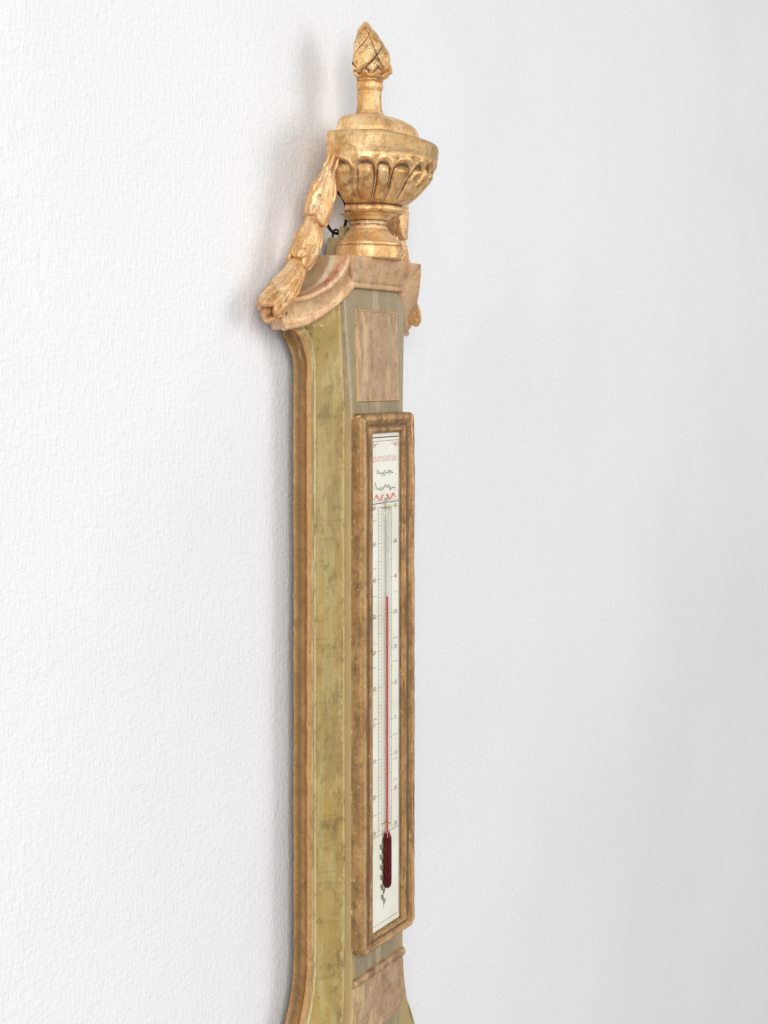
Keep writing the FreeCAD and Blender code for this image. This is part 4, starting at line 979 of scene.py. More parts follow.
def leafGrid(way, start, length, radii, turn, width, thick, flare, ridges):
    # one leaf lying on a round bunch: a runs along it, psi round its own
    # section; half width w = W (0.5 + 0.5 s(a)) sqrt(1 - ((a - 0.62) / 0.38)^3)
    # past its middle, deep grooves down its face, the tip lifted by flare
    path, tangent, distance, front = way
    a = np.linspace(0, 1, 44)
    here = start + a * length
    centre = np.stack([np.interp(here, distance, path[:, c]) for c in range(3)], -1)
    t = np.stack([np.interp(here, distance, tangent[:, c]) for c in range(3)], -1)
    t /= np.linalg.norm(t, axis=1)[:, None]
    f = front - t * (t @ front)[:, None]
    f /= np.linalg.norm(f, axis=1)[:, None]
    side = np.cross(t, f)
    radius = radii[0] + (radii[1] - radii[0]) * smoothStep(0, 0.75, a) + flare * a ** 5
    tip = np.clip((a - 0.62) / 0.38, 0, 1)
    half = (0.5 + 0.5 * smoothStep(0, 0.5, a)) * np.sqrt(np.clip(1 - tip ** 3.0, 0.0004, 1))
    psi = np.linspace(0, 2 * math.pi, 44, endpoint=False)[None, :]
    share = np.cos(psi)
    x = width * half[:, None] * share
    dome = np.abs(np.sin(psi)) ** 0.7 * np.sign(np.sin(psi))
    groove = 0.44 * np.abs(np.sin(share * math.pi * ridges * 0.5 + 0.3 * np.sin(a * 5)[:, None])) ** 0.7
    y = thick * half[:, None] ** 0.4 * dome * (1 - (np.sin(psi) > 0) * groove)
    angle = turn + x / np.maximum(radius, 3.0)[:, None]
    out = f[:, None] * np.cos(angle)[..., None] + side[:, None] * np.sin(angle)[..., None]
    return centre[:, None] + out * (radius[:, None] + y)[..., None]


def buildSwags():
    rng = np.random.default_rng(swag["seed"])
    path = smoothPath(swag["path"], 300)
    distance = np.concatenate([[0], np.cumsum(np.linalg.norm(np.diff(path, axis=0), axis=1))])
    tangent = np.gradient(path, axis=0)
    tangent /= np.linalg.norm(tangent, axis=1)[:, None]
    front = np.array([-0.25, 1.0, 0.1])
    way = (path, tangent, distance, front)
    grids = []
    for start, length, low, high, count in swag["bunches"]:
        length = min(length, distance[-1] - start)
        for k in range(count):
            turn = 2 * math.pi * (k + rng.uniform(-0.15, 0.15)) / count
            own = length * rng.uniform(0.86, 1.0)
            width = math.pi * high / count * rng.uniform(1.05, 1.25)
            grids.append(leafGrid(way, start, own, (low, high - 1.2), turn, width,
                                  swag["thickness"] * rng.uniform(0.85, 1.15), rng.uniform(-1.5, 1.5),
                                  rng.integers(3, 5)))
        # a few narrow leaves over the joints
        for k in range(count):
            turn = 2 * math.pi * (k + 0.5) / count
            grids.append(leafGrid(way, start, length * rng.uniform(0.55, 0.78), (low + 0.6, high - 0.2),
                                  turn,
                                  math.pi * high / count * 0.55, 1.9, rng.uniform(-1.0, 0.6), 3))
    core = []
    for k in range(0, 300, 6):
        a = np.linspace(0, 2 * math.pi, 16, endpoint=False)
        t = tangent[k]
        f = front - t * np.dot(front, t)
        f /= np.linalg.norm(f)
        side = np.cross(t, f)
        girth = 2.2 + 3.6 * math.sin(math.pi * k / 300)
        core.append(path[k] + girth * (np.cos(a)[:, None] * f + np.sin(a)[:, None] * side))
    grids.append(np.array(core))
    for name, flipped in (("right", False), ("left", True)):
        piece = Piece("swag" + name.capitalize())
        for grid in grids:
            points = grid + (fractal(grid, 5, 121) * 0.3)[..., None]
            points[..., 1] = np.maximum(points[..., 1], 0.4)
            # the right-hand garland is carved a little shorter
            if not flipped:
                points[..., 0] -= 0.25 * np.maximum(0, points[..., 0] - 60)
            shown = mirrorX(points) if flipped else points
            piece.grid(shown, False, True, not flipped)
            piece.cap(shown[-1], not flipped)
            piece.cap(shown[0], flipped)
        piece.finish(leafGilt, "case", "carved_gilt", ["swag_" + name], 3, 0.5, 70)


leafGilt = giltShader("leafGilding", dict(brightGilt, gold=(0.82, 0.50, 0.21), goldPale=(0.96, 0.69, 0.38),
                                          bole=(0.46, 0.19, 0.09),
                                          dirtAndShade=(0.24, 0.11, 0.045), boleFrom=0.59, boleMost=0.55,
                                          blotch=0.15, metal=0.65))
buildSwags()
print("swags built")


hanger = {
    "middle": -7.0, "pivotZ": 683.7, "ringDepth": 4.2, "ringRadius": 14.8, "wire": 1.15, "stapleWire": 0.8,
          "stapleBend": 2.6,
}


def tubeGrid(path, radius, columns, closed=False):
    # a round wire along a path, its cross-section carried by a fixed axis
    p = np.array(path, float)
    t = (np.roll(p, -1, 0) - np.roll(p, 1, 0)) if closed else np.gradient(p, axis=0)
    t /= np.linalg.norm(t, axis=1)[:, None]
    axis = np.linalg.svd(p - p.mean(0))[2][-1]
    axis = np.tile(axis, (len(p), 1))
    axis -= t * np.sum(axis * t, 1)[:, None]
    axis /= np.linalg.norm(axis, axis=1)[:, None]
    other = np.cross(t, axis)
    a = np.linspace(0, 2 * math.pi, columns, endpoint=False)
    r = np.broadcast_to(np.asarray(radius, float), (len(p),))[:, None, None]
    return p[:, None] + r * (np.cos(a)[None, :, None] * axis[:, None] + np.sin(a)[None, :, None]
                             * other[:, None])


def buildHanger():
    a = np.linspace(0, 2 * math.pi, 140, endpoint=False)
    ring = hanger["ringRadius"]
    path = stack(hanger["middle"] + ring * np.sin(a), hanger["ringDepth"], hanger["pivotZ"] + ring - ring
                 * np.cos(a))
    wire = hanger["wire"] * (1 + 0.06 * np.sin(a * 5) + 0.04 * np.sin(a * 11 + 1))
    points = tubeGrid(path, wire, 20, True)
    Piece("hangingRing").grid(points, True, True, False).finish(iron, "ring", "iron", ["hanging_ring"], 2,
                                                                0.3)
    b = np.linspace(0, math.pi, 30)
    bend = hanger["stapleBend"]
    arch = stack(hanger["middle"], hanger["ringDepth"] + bend * np.cos(b), hanger["pivotZ"] + bend
                 * np.sin(b))
    legs = np.linspace(-8, 0, 8)[:-1]
    front = stack(hanger["middle"], hanger["ringDepth"] + bend, hanger["pivotZ"] + legs)
    rear = stack(hanger["middle"], hanger["ringDepth"] - bend, hanger["pivotZ"] + legs[::-1])
    path = np.concatenate([front, arch, rear])
    points = tubeGrid(path, hanger["stapleWire"], 14)
    piece = Piece("hangerStaple").grid(points, False, True, False)
    piece.cap(points[0], True).cap(points[-1], False)
    piece.finish(iron, "case", "iron", ["hanger_staple"], 2, 0.3)


buildHanger()
print("hanger built")


# the rails, the paper and the stem all hang on these few sizes
glassScale = {
    "middle": 2.0, "frameHalf": 38.4, "lowZ": 182.7, "topZ": 555.8, "side": 17.7, "top": 14.2, "low": 10.0,
    "corner": 6.0, "paperDepth": 39.5, "scaleLow": 258.5, "scaleTop": 492.2,
    "headingZ": 523.4, "headingStrokes": 15, "penLines": ((513.0, 12.0, 1.0), (502.8, 15.0, 2.3)),
    "divisions": 90, "sprigLow": 206, "sprigTop": 262,
}


def railProfile():
    # (share of the width in from the outer edge, height above the pilaster)
    return resample(roundOff([(0.0, 0.0), (0.0, 6.2), (0.03, 7.4), (0.10, 8.4), (0.20, 8.9), (0.32, 8.7),
                              (0.45, 7.9),
                              (0.58, 7.2), (0.66, 7.0), (0.70, 7.5), (0.78, 8.0), (0.88, 7.9), (0.96, 7.2),
                              (0.995, 6.2),
                              (1.0, 0.0)], 2), 60)


def railGrid(kind):
    # every profile point runs along its own rounded rectangle, so rails meet
    # in mitres and the outer corners are round
    profile = railProfile()
    half, low, top = glassScale["frameHalf"], glassScale["lowZ"], glassScale["topZ"]
    steps = 14
    columns = []
    for share, height in profile:
        inset = glassScale["side"] * share
        x = half - inset
        zTop = top - glassScale["top"] * share
        zLow = low + glassScale["low"] * share
        rho = max(glassScale["corner"] - inset, 0.0)
        phi = np.linspace(0, math.pi / 4, steps)
        if kind == "side":
            lowArc = np.stack([x - rho + rho * np.cos(phi[::-1]), zLow + rho - rho * np.sin(phi[::-1])], -1)
            topArc = np.stack([x - rho + rho * np.cos(phi), zTop - rho + rho * np.sin(phi)], -1)
            middle = np.linspace(zLow + rho, zTop - rho, 190)[1:-1]
            line = np.concatenate([lowArc, np.stack([np.full(len(middle), x), middle], -1), topArc])
        else:
            z = zTop if kind == "top" else zLow
            sign = 1.0 if kind == "top" else -1.0
            turn = np.linspace(math.pi / 4, math.pi / 2, steps)
            right = np.stack([x - rho + rho * np.cos(turn), z - sign * rho + sign * rho * np.sin(turn)], -1)
            middle = np.linspace(x - rho, -(x - rho), 50)[1:-1]
            left = right[::-1] * np.array([-1.0, 1.0])
            line = np.concatenate([right, np.stack([middle, np.full(len(middle), z)], -1), left])
        columns.append(stack(line[:, 0], case["frontDepth"] + height, line[:, 1]))
    points = np.stack(columns, 1)
    proud = smoothStep(1.0, 3.0, points[..., 1:2] - case["frontDepth"])
    sway = (fractal(points * [1, 1, 0.5], 25, 131) * 0.28)[..., None]
    points = points + proud * sway * np.array([0.6, 1, 0.3])
    points = points + proud * (fractal(points, 6, 137) * 0.12)[..., None]
    out = smoothStep(5, 8, points[..., 1] - case["frontDepth"])
    dent = smoothStep(0.42, 0.8, valueNoise(points, 5, 139)) * out
    points[..., 1] -= dent * 0.6
    share, height = profile[:, 0], profile[:, 1]
    # tone by place in the profile: painted highlight on the ridge and the inner bead, painted shade on the
    # outer side, the valley and the inner side
    tone = 1.1 * np.exp(-((share - 0.24)
                          / 0.12) ** 2) - 0.25 * (share < 0.04) - 0.9 * np.exp(-((share - 0.60) / 0.07) ** 2)
    tone += 0.9 * np.exp(-((share - 0.84) / 0.06) ** 2) - 0.5 * (share > 0.97) * (height < 6)
    return points, np.tile(tone, (points.shape[0], 1))


def buildFrame():
    for kind, name, node, mirrored in (("side", "frameRailRight", "frame_rail_right", False),
                                       ("side", "frameRailLeft", "frame_rail_left", True),
                                       ("top", "frameRailTop", "frame_rail_top", False),
                                       ("low", "frameRailBottom", "frame_rail_bottom", False)):
        points, tone = railGrid(kind)
        flip = (kind == "low") != mirrored
        shown = (mirrorX(points) if mirrored else points) + [glassScale["middle"], 0, 0]
        piece = Piece(name).grid(shown, False, True, flip)
        piece.cap(shown[-1], flip).cap(shown[0], not flip)
        marks = np.concatenate([tone.reshape(-1), np.zeros(piece.count - tone.size)])
        piece.finish(frameGilt, "case", "gilt_wood", [node], 5, 0.7, 50, {"tone": marks})


def frameOverlay(s, color, metal):
    # painted highlight on the rounded ridges, painted shade down the sides and valleys; grime streaks and
    # pale flakes over all
    tone = s.math("ADD", s.attribute("tone"),
                  s.math("MULTIPLY", s.math("SUBTRACT", s.noise(90, 5, (1, 1, 0.5), 0.7), 0.5), 1.6))
    # painted highlight where the tone is high
    color = s.mix(s.span(tone, 0.3, 1.1, 0.0, 0.8), color,
                  s.mix(s.noise(260, 4), (0.52, 0.28, 0.10), (0.84, 0.54, 0.27)))
    # painted shade where the tone is low
    color = s.mix(s.span(tone, 0.0, -0.9, 0.0, 0.85), color, (0.15, 0.075, 0.025))
    grime = s.span(s.noise(130, 6, (1, 1, 0.22), 0.75), 0.50, 0.60, 0.0, 0.6)
    color = s.mix(grime, color, (0.15, 0.065, 0.02))
    flake = s.span(s.noise(330, 4, (1, 1, 0.7), 0.75), 0.63, 0.68, 0.0, 0.75)
    color = s.mix(flake, color, (0.80, 0.60, 0.34))
    return color, metal


frameGilt = giltShader("frameGilding", dict(dullGilt, gold=(0.33, 0.18, 0.055), goldPale=(0.45, 0.27, 0.10),
                                             goldDeep=(0.36, 0.17, 0.045), brown=(0.15, 0.078, 0.025),
                                            shade=0.6,
                                             blotch=0.4, boleFrom=0.62, boleMost=0.35, dirtAndShadeFrom=0.16,
                                            metal=0.25,
                                             rough=0.40), frameOverlay)


def plateGrid(halfWidth, z0, z1, rows, columns, height, base):
    # flat board whose face height depends on where it is; its edges run back
    # to the base depth
    z = np.linspace(z0, z1, rows)[:, None]
    u = np.linspace(-1, 1, columns)[None, :]
    x = halfWidth(z) * u
    z = z + 0 * u
    face = stack(x, height(x, z), z)
    left, right = face[:, :1].copy(), face[:, -1:].copy()
    left[..., 1] = base
    right[..., 1] = base
    body = np.concatenate([left, face, right], 1)
    bottom, top = body[:1].copy(), body[-1:].copy()
    bottom[..., 1] = base
    top[..., 1] = base
    return np.concatenate([bottom, body, top], 0)


panels = {
    "upperHalf": 28.9, "upperLow": 563.7, "upperTop": 628.4, "upperRise": 0.9,
    "lowerLow": 121.0, "lowerCorner": 130.6, "lowerTop": 166.3, "lowerRise": 1.0, "rollRadius": 3.0,
}


def buildPanels():
    base = case["frontDepth"]

    def upperGap(x, z):
        # distance in from the board's nearest edge
        ends = np.minimum(z - panels["upperLow"], panels["upperTop"] - z)
        return np.minimum(panels["upperHalf"] - np.abs(x), ends)

    def upper(x, z):
        # flat board with one thin raised line round its edge
        gap = upperGap(x, z)
        line = 0.55 * np.exp(-((gap - 0.9) / 0.6) ** 4)
        rise = panels["upperRise"] - headRise(z) * case["headLean"]
        return base + rise + line - 0.8 * (1 - smoothStep(0.0, 0.4, gap))

    grid = plateGrid(lambda z: panels["upperHalf"] + 0 * z, panels["upperLow"], panels["upperTop"], 240,
                     240, upper,
                     base - 2.4)
    grid[1:-1, 1:-1, 1] += fractal(grid[1:-1, 1:-1], 9, 141) * 0.08
    line = 1 - smoothStep(1.4, 1.9, upperGap(grid[..., 0], grid[..., 2]))
    piece = Piece("upperPanel").grid(grid, False, False, True)
    piece.finish(panelGilt, "case", "gilt_wood", ["upper_panel"], 3, 0.25, 50, {"line": line.reshape(-1)})

    reach = case["pilasterHollow"] + 1.0
    corner = (case["pilasterRound"] - case["pilasterHalf"]
              * math.cos(case["slope"])) / math.sin(case["slope"])
    start = corner + case["pilasterHollow"] * math.tan(case["slope"] / 2)
    middle = case["pilasterHalf"] + case["pilasterHollow"]

    def halfAt(z):
        curve = middle - np.sqrt(reach ** 2 - np.minimum(0, z - start) ** 2)
        edge = panels["lowerCorner"]
        low = middle - math.sqrt(reach ** 2 - (edge - start) ** 2)
        return np.where(z >= edge, curve, low - 13.0 * (edge - z) / 9.6)

    def edgeGap(x, z):
        side = (halfAt(z) - np.abs(x)) * np.where(z < panels["lowerCorner"], 0.6, 0.97)
        return np.minimum(side, np.minimum(z - panels["lowerLow"], panels["lowerTop"] - z))

    def lower(x, z):
        # a thick half-round roll along the top, a thin raised line inside
        gap = edgeGap(x, z)
        rolled = (panels["lowerTop"] - z - panels["rollRadius"]) / panels["rollRadius"]
        roll = 2.3 * np.sqrt(np.clip(1 - rolled ** 2, 0, 1))
        line = 0.8 * np.exp(-((gap - 5.4) / 0.6) ** 2) * (z < 160)
        return base + panels["lowerRise"] + np.maximum(roll, line) - 0.8 * (1 - smoothStep(0.0, 0.7, gap))

    grid = plateGrid(halfAt, panels["lowerLow"], panels["lowerTop"], 190, 240, lower, base)
    grid[1:-1, 1:-1, 1] += fractal(grid[1:-1, 1:-1], 9, 143) * 0.12
    band = smoothStep(160.0, 160.6, grid[..., 2])
    piece = Piece("lowerPanel").grid(grid, False, False, True)
    piece.finish(panelGilt, "case", "gilt_wood", ["lower_panel"], 3, 0.25, 50, {"line": (-band).reshape(-1)})


def panelOverlay(s, color, metal):
    # above 0: the thin bright line of leaf; below 0: the browned roll
    line = s.attribute("line")
    tall = s.noise(190, 6, (1, 1, 0.14), 0.75)
    place = s.node("ShaderNodeSeparateXYZ")
    s.put(place.inputs[0], s.coord)
    leafLeft = s.math("SUBTRACT", tall, s.math("MULTIPLY", place.outputs[0], 3.0))
    leafLeft = s.math("ADD", leafLeft,
                      s.math("MULTIPLY", s.math("SUBTRACT", s.noise(70, 5, (1, 1, 0.5), 0.7), 0.5), 0.7))
    color = s.mix(s.math("MULTIPLY", s.span(leafLeft, 0.52, 0.68), 0.6), color, (0.72, 0.52, 0.26))
    color = s.mix(s.math("MULTIPLY", s.span(line, 0.3, 0.7), s.span(s.noise(120, 4), 0.35, 0.62, 0.1, 0.8)),
                  color, (0.62, 0.39, 0.18))
    worn = s.span(s.noise(55, 4), 0.42, 0.58)
    color = s.mix(s.span(line, -0.3, -0.7), color, s.mix(worn, (0.52, 0.34, 0.18), (0.26, 0.15, 0.07)))
    return color, metal


panelGilt = giltShader("panelGilding", dict(dullGilt, gold=(0.42, 0.27, 0.15), goldPale=(0.51, 0.345, 0.205),
                                             goldDeep=(0.36, 0.22, 0.115), brown=(0.24, 0.15, 0.08),
                                            shade=0.5,
                                             streak=(1, 1, 0.1), blotch=0.35, boleMost=0.3, rough=0.55,
                                            metal=0.15),
                       panelOverlay)
buildFrame()
buildPanels()
print("frame and panels built")


def glyphs(words, size):
    # outline of a short word in the plain built-in letters, centred
    curve = bpy.data.curves.new("glyph", "FONT")
    curve.body = words
    curve.size = size
    curve.align_x = "CENTER"
    curve.align_y = "CENTER"
    curve.resolution_u = 3
    thing = bpy.data.objects.new("glyph", curve)
    bpy.context.scene.collection.objects.link(thing)
    bpy.context.view_layer.update()
    mesh = thing.evaluated_get(bpy.context.evaluated_depsgraph_get()).to_mesh()
    points = np.array([v.co for v in mesh.vertices], float).reshape(-1, 3)
    faces = [list(p.vertices) for p in mesh.polygons]
    thing.evaluated_get(bpy.context.evaluated_depsgraph_get()).to_mesh_clear()
    bpy.data.objects.remove(thing)
    bpy.data.curves.remove(curve)
    return points, faces


class Print:
    # flat ink marks that lie just above the paper
    def __init__(self, name, depth, shift=0.0):
        self.name, self.depth, self.shift = name, depth, shift
        self.points, self.faces = [], []

    def add(self, xz, faces):
        start = len(self.points)
        self.points += [(float(x) + self.shift, self.depth, float(z)) for x, z in xz]
        self.faces += [[start + i for i in face] for face in faces]

    def bar(self, x0, x1, z0, z1):
        self.add([(x0, z0), (x1, z0), (x1, z1), (x0, z1)], [[0, 1, 2, 3]])

    def line(self, a, b, width):
        a, b = np.array(a, float), np.array(b, float)
        along = (b - a) / max(np.linalg.norm(b - a), 1e-9)
        side = np.array([-along[1], along[0]]) * width / 2
        self.add([a - side, b - side, b + side, a + side], [[0, 1, 2, 3]])

    def stroke(self, xz, widths):
        # a pen stroke of varying width
        p = np.array(xz, float)
        t = np.gradient(p, axis=0)
        t /= np.maximum(np.linalg.norm(t, axis=1), 1e-9)[:, None]
        side = np.stack([-t[:, 1], t[:, 0]], -1) * (np.array(widths) / 2)[:, None]
        ring = np.concatenate([p - side, p + side])
        n = len(p)
        self.add(ring, [[i, i + 1, n + i + 1, n + i] for i in range(n - 1)])

    def word(self, words, x, z, size, turn=0.0):
        points, faces = glyphs(words, size)
        c, s = math.cos(turn), math.sin(turn)
        xz = np.stack([x + points[:, 0] * c - points[:, 1] * s, z + points[:, 0] * s + points[:, 1] * c], -1)
        self.add(xz, faces)

    def finish(self, material, body, slot):
        mesh = bpy.data.meshes.new(self.name)
        mesh.from_pydata(toWorld(np.array(self.points)).tolist(), [], self.faces)
        thing = bpy.data.objects.new(self.name, mesh)
        bpy.context.scene.collection.objects.link(thing)
        mesh.materials.append(material)
        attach(thing, body)
        return thing


def buildScale():
    depth = glassScale["paperDepth"]
    low, top = glassScale["scaleLow"], glassScale["scaleTop"]
    black = Print("scaleBlackInk", depth + 0.06, glassScale["middle"])
    red = Print("scaleRedInk", depth + 0.06, glassScale["middle"])
    wash = Print("scaleGreenWash", depth + 0.05, glassScale["middle"])
    edge = 19.6
    for x in (-edge, edge):
        black.bar(x - 0.18, x + 0.18, 196.6, 536.0)
    rules = ((196.6, 0.3), (538.6, 0.8), (536.0, 0.3), (low, 0.35), (top, 0.6), (low + 1.4, 0.15),
             (top + 1.4, 0.15))
    for z, thick in rules:
        black.bar(-edge, edge, z - thick / 2, z + thick / 2)
    # ladders of divisions each side of the tube
    steps = glassScale["divisions"]
    for side in (-1, 1):
        for x in (4.2, 8.6, 9.4):
            black.bar(side * x - 0.1, side * x + 0.1, low + 3, top - 3)
        for k in range(steps + 1):
            z = low + 3 + (top - low - 6) * k / steps
            far = 11.5 if k % 10 == 0 else 10.2 if k % 5 == 0 else 8.6
            black.line((side * 4.2, z), (side * far, z), 0.22 if k % 5 == 0 else 0.13)
            if k % 10 == 0:
                black.word(str(abs(k - 30)), side * 15.0, z, 4.2)
    rng = np.random.default_rng(12)
    # small notes beside the ladders, as pen strokes that spell nothing
    for k in range(13):
        z = low + 12 + k * 17.0 + rng.uniform(-2, 2)
        for side in (-1, 1):
            if rng.uniform() < 0.35:
                continue
            t = np.linspace(0, 1, 40)
            width = rng.uniform(4.5, 6.5)
            x = side * 14.6 - width / 2 + t * width
            wave = 0.55 * np.sin(t * rng.uniform(26, 34)) * (0.6 + 0.4 * np.sin(t * 9))
            (red if rng.uniform() < 0.25 else black).stroke(np.stack([x, z + 4.8 + wave], -1),
                                                            0.14 + 0.10 * np.abs(np.sin(t * 20)))
    # heading: a red band of short strokes, two flourishes, corner motifs
    mid = glassScale["headingZ"]
    for k in range(glassScale["headingStrokes"]):
        x = -16.0 + k * 2.25
        tall = 1.9 + 0.4 * math.sin(k * 2.1)
        red.line((x, mid - tall), (x + 0.3, mid + tall), 0.6)
        if k % 3 != 1:
            end = tall if k % 2 else -tall
            red.line((x, mid + end), (x + 1.5, mid + end * 0.9), 0.45)
    for z, wide, seed in glassScale["penLines"]:
        t = np.linspace(0, 1, 240)
        x = -wide + 2 * wide * t + 0.7 * np.sin(t * 60 + seed)
        wave = 0.95 * np.sin(t * 62 + seed * 2) * (0.55 + 0.45 * np.sin(t * 17 + seed))
        wave = wave + 0.5 * np.sin(t * 9 + seed)
        tallBits = 2.6 * np.exp(-((t - 0.06) / 0.018) ** 2) + 1.9 * np.exp(-((t - 0.5) / 0.012) ** 2)
        tallBits = tallBits - 2.2 * np.exp(-((t - 0.78) / 0.015) ** 2)
        black.stroke(np.stack([x, z + wave * 1.6 + tallBits * 1.2], -1),
                     0.22 + 0.45 * np.abs(np.sin(t * 31 + seed)) ** 2)
    for sx in (-1, 1):
        for k in range(9):
            a = k / 9 * 2 * math.pi
            cx, cz = sx * 16.2, 533.2
            t = np.linspace(0, 1, 10)
            x = cx + (1.0 + 2.3 * t) * math.cos(a)
            z = cz + (0.6 + 1.5 * t) * math.sin(a)
            red.stroke(np.stack([x, z], -1), 0.5 * np.sin(math.pi * (0.15 + 0.8 * t)))
    t = np.linspace(0, 1, 120)
    for sx in (-1, 1):
        ribbon = np.stack([sx * (9 + 7 * t), 533.6 + 0.9 * np.sin(t * 8) * (1 - t * 0.4)], -1)
        red.stroke(ribbon, 0.2 + 0.6 * np.abs(np.sin(t * 8)))
        ribbon = np.stack([sx * (1.5 + 14 * t), 496.0 + 1.6 * np.sin(t * 9 + 1)], -1)
        red.stroke(ribbon, 0.4 + 2.0 * np.abs(np.sin(t * 7)))
    # leaf sprig painted behind the bulb
    stem = np.stack([-1.5 - 2.4 * np.sin(np.linspace(0, 2.4, 40)),
                     np.linspace(glassScale["sprigLow"], glassScale["sprigTop"], 40)], -1)
    wash.stroke(stem, np.full(40, 0.8))
    for k in range(13):
        here = stem[2 + k * 2 + k // 2]
        side = -1 if k % 2 else 1
        t = np.linspace(0, 1, 14)
        angle = 0.9 if side > 0 else math.pi - 0.9
        length = 6.0 if side < 0 else 4.6
        x = here[0] + t * length * math.cos(angle)
        z = here[1] + t * length * math.sin(angle)
        wash.stroke(np.stack([x, z], -1), 3.2 * np.sin(math.pi * (0.08 + 0.9 * t)) ** 0.8)
    black.finish(blackInk, "case", "paper")
    red.finish(redInk, "case", "paper")
    wash.finish(greenWash, "case", "paper")


def buildScalePaper():
    # flat sheet on its board; the board's back is 35 mm out from the wall
    def height(x, z):
        return glassScale["paperDepth"] + 0 * x

    half = glassScale["frameHalf"] - glassScale["side"] - 0.1
    low = glassScale["lowZ"] + glassScale["low"] + 0.1
    top = glassScale["topZ"] - glassScale["top"] - 0.1
    grid = plateGrid(lambda z: half + 0 * z, low, top, 160, 24, height, 35.0) + [glassScale["middle"], 0, 0]
    Piece("scalePaper").grid(grid, False, False, True).finish(paper, "case", "paper",
                                                              ["scale_paper", "scale_board"], 2, 0.3)


def buildThermometer():
    axis = 41.3
    profile = [(0.0, 219.8), (1.6, 220.2), (2.7, 221.4), (3.2, 223.4), (3.25, 226.0), (3.25, 254.0),
               (3.1, 256.2),
               (2.5, 257.8), (1.9, 259.0), (1.8, 261.0), (1.8, 494.0), (1.5, 495.4), (0.0, 496.0)]
    inner = [(0.0, 220.6), (1.4, 221.0), (2.3, 222.0), (2.7, 223.8), (2.75, 226.0), (2.75, 253.8),
             (2.6, 255.8),
             (1.6, 257.6), (0.55, 258.8), (0.42, 261.0), (0.42, 426.0), (0.0, 426.3)]
    for name, shape, material, slot, node in (("thermometerGlass", profile, stemGlass, "clear_glass",
                                               "thermometer_glass"),
                                              ("thermometerSpirit", inner, spirit, "red_spirit",
                                               "thermometer_spirit")):
        p = np.array(shape)
        steps = [3 if abs(p[k, 1] - p[k + 1, 1]) < 10 else 30 for k in range(len(p) - 1)]
        p = np.concatenate([resample(p[k:k + 2], steps[k])[:-1] for k in range(len(p) - 1)] + [p[-1:]])
        a = np.linspace(0, 2 * math.pi, 32, endpoint=False)
        points = stack(glassScale["middle"] + p[:, :1] * np.sin(a), axis + p[:, :1] * np.cos(a),
                       p[:, 1:] + 0 * a)
        Piece(name).grid(points, False, True).finish(material, "case", slot, [node], 2, 0.3, 60)
    for name, z, node in (("stemTieLower", 266.0, "stem_tie_lower"),
                          ("stemTieUpper", 488.8, "stem_tie_upper")):
        b = np.linspace(-0.15, math.pi + 0.15, 24)
        path = stack(glassScale["middle"] + 2.15 * np.cos(b), axis + 2.15 * np.sin(b), z)
        points = tubeGrid(path, 0.45, 12)
        piece = Piece(name).grid(points, False, True)
        piece.cap(points[0], True).cap(points[-1], False)
        wings = tubeGrid(stack(glassScale["middle"] + np.linspace(-5.5, 5.5, 12), 39.9, z), 0.28, 8)
        piece.grid(wings, False, True).cap(wings[0], True).cap(wings[-1], False)
        piece.finish(brass, "case", "brass", [node], 2, 0.3, 60)


buildScalePaper()
buildScale()
buildThermometer()
print("thermometer built")


dial = {
    "plateDepth": 29.0, "plate": 76.0, "inner": 66.0, "outer": 88.0, "beads": 68, "beadCircle": 74.0,
        "beadSize": 2.6,
    "turnPerInch": 119.3, "leaves": 46,
}


def ringGrid(profile, rows, columns, shape=None):
    # profile (radius, depth) turned about the dial's axis
    p = resample(profile, rows)
    a = np.linspace(0, 2 * math.pi, columns, endpoint=False)
    radius = p[:, :1] + 0 * a
    depth = p[:, 1:] + 0 * a
    if shape is not None:
        radius, depth = shape(radius, depth, a + 0 * radius)
    return stack(radius * np.sin(a), depth, radius * np.cos(a))


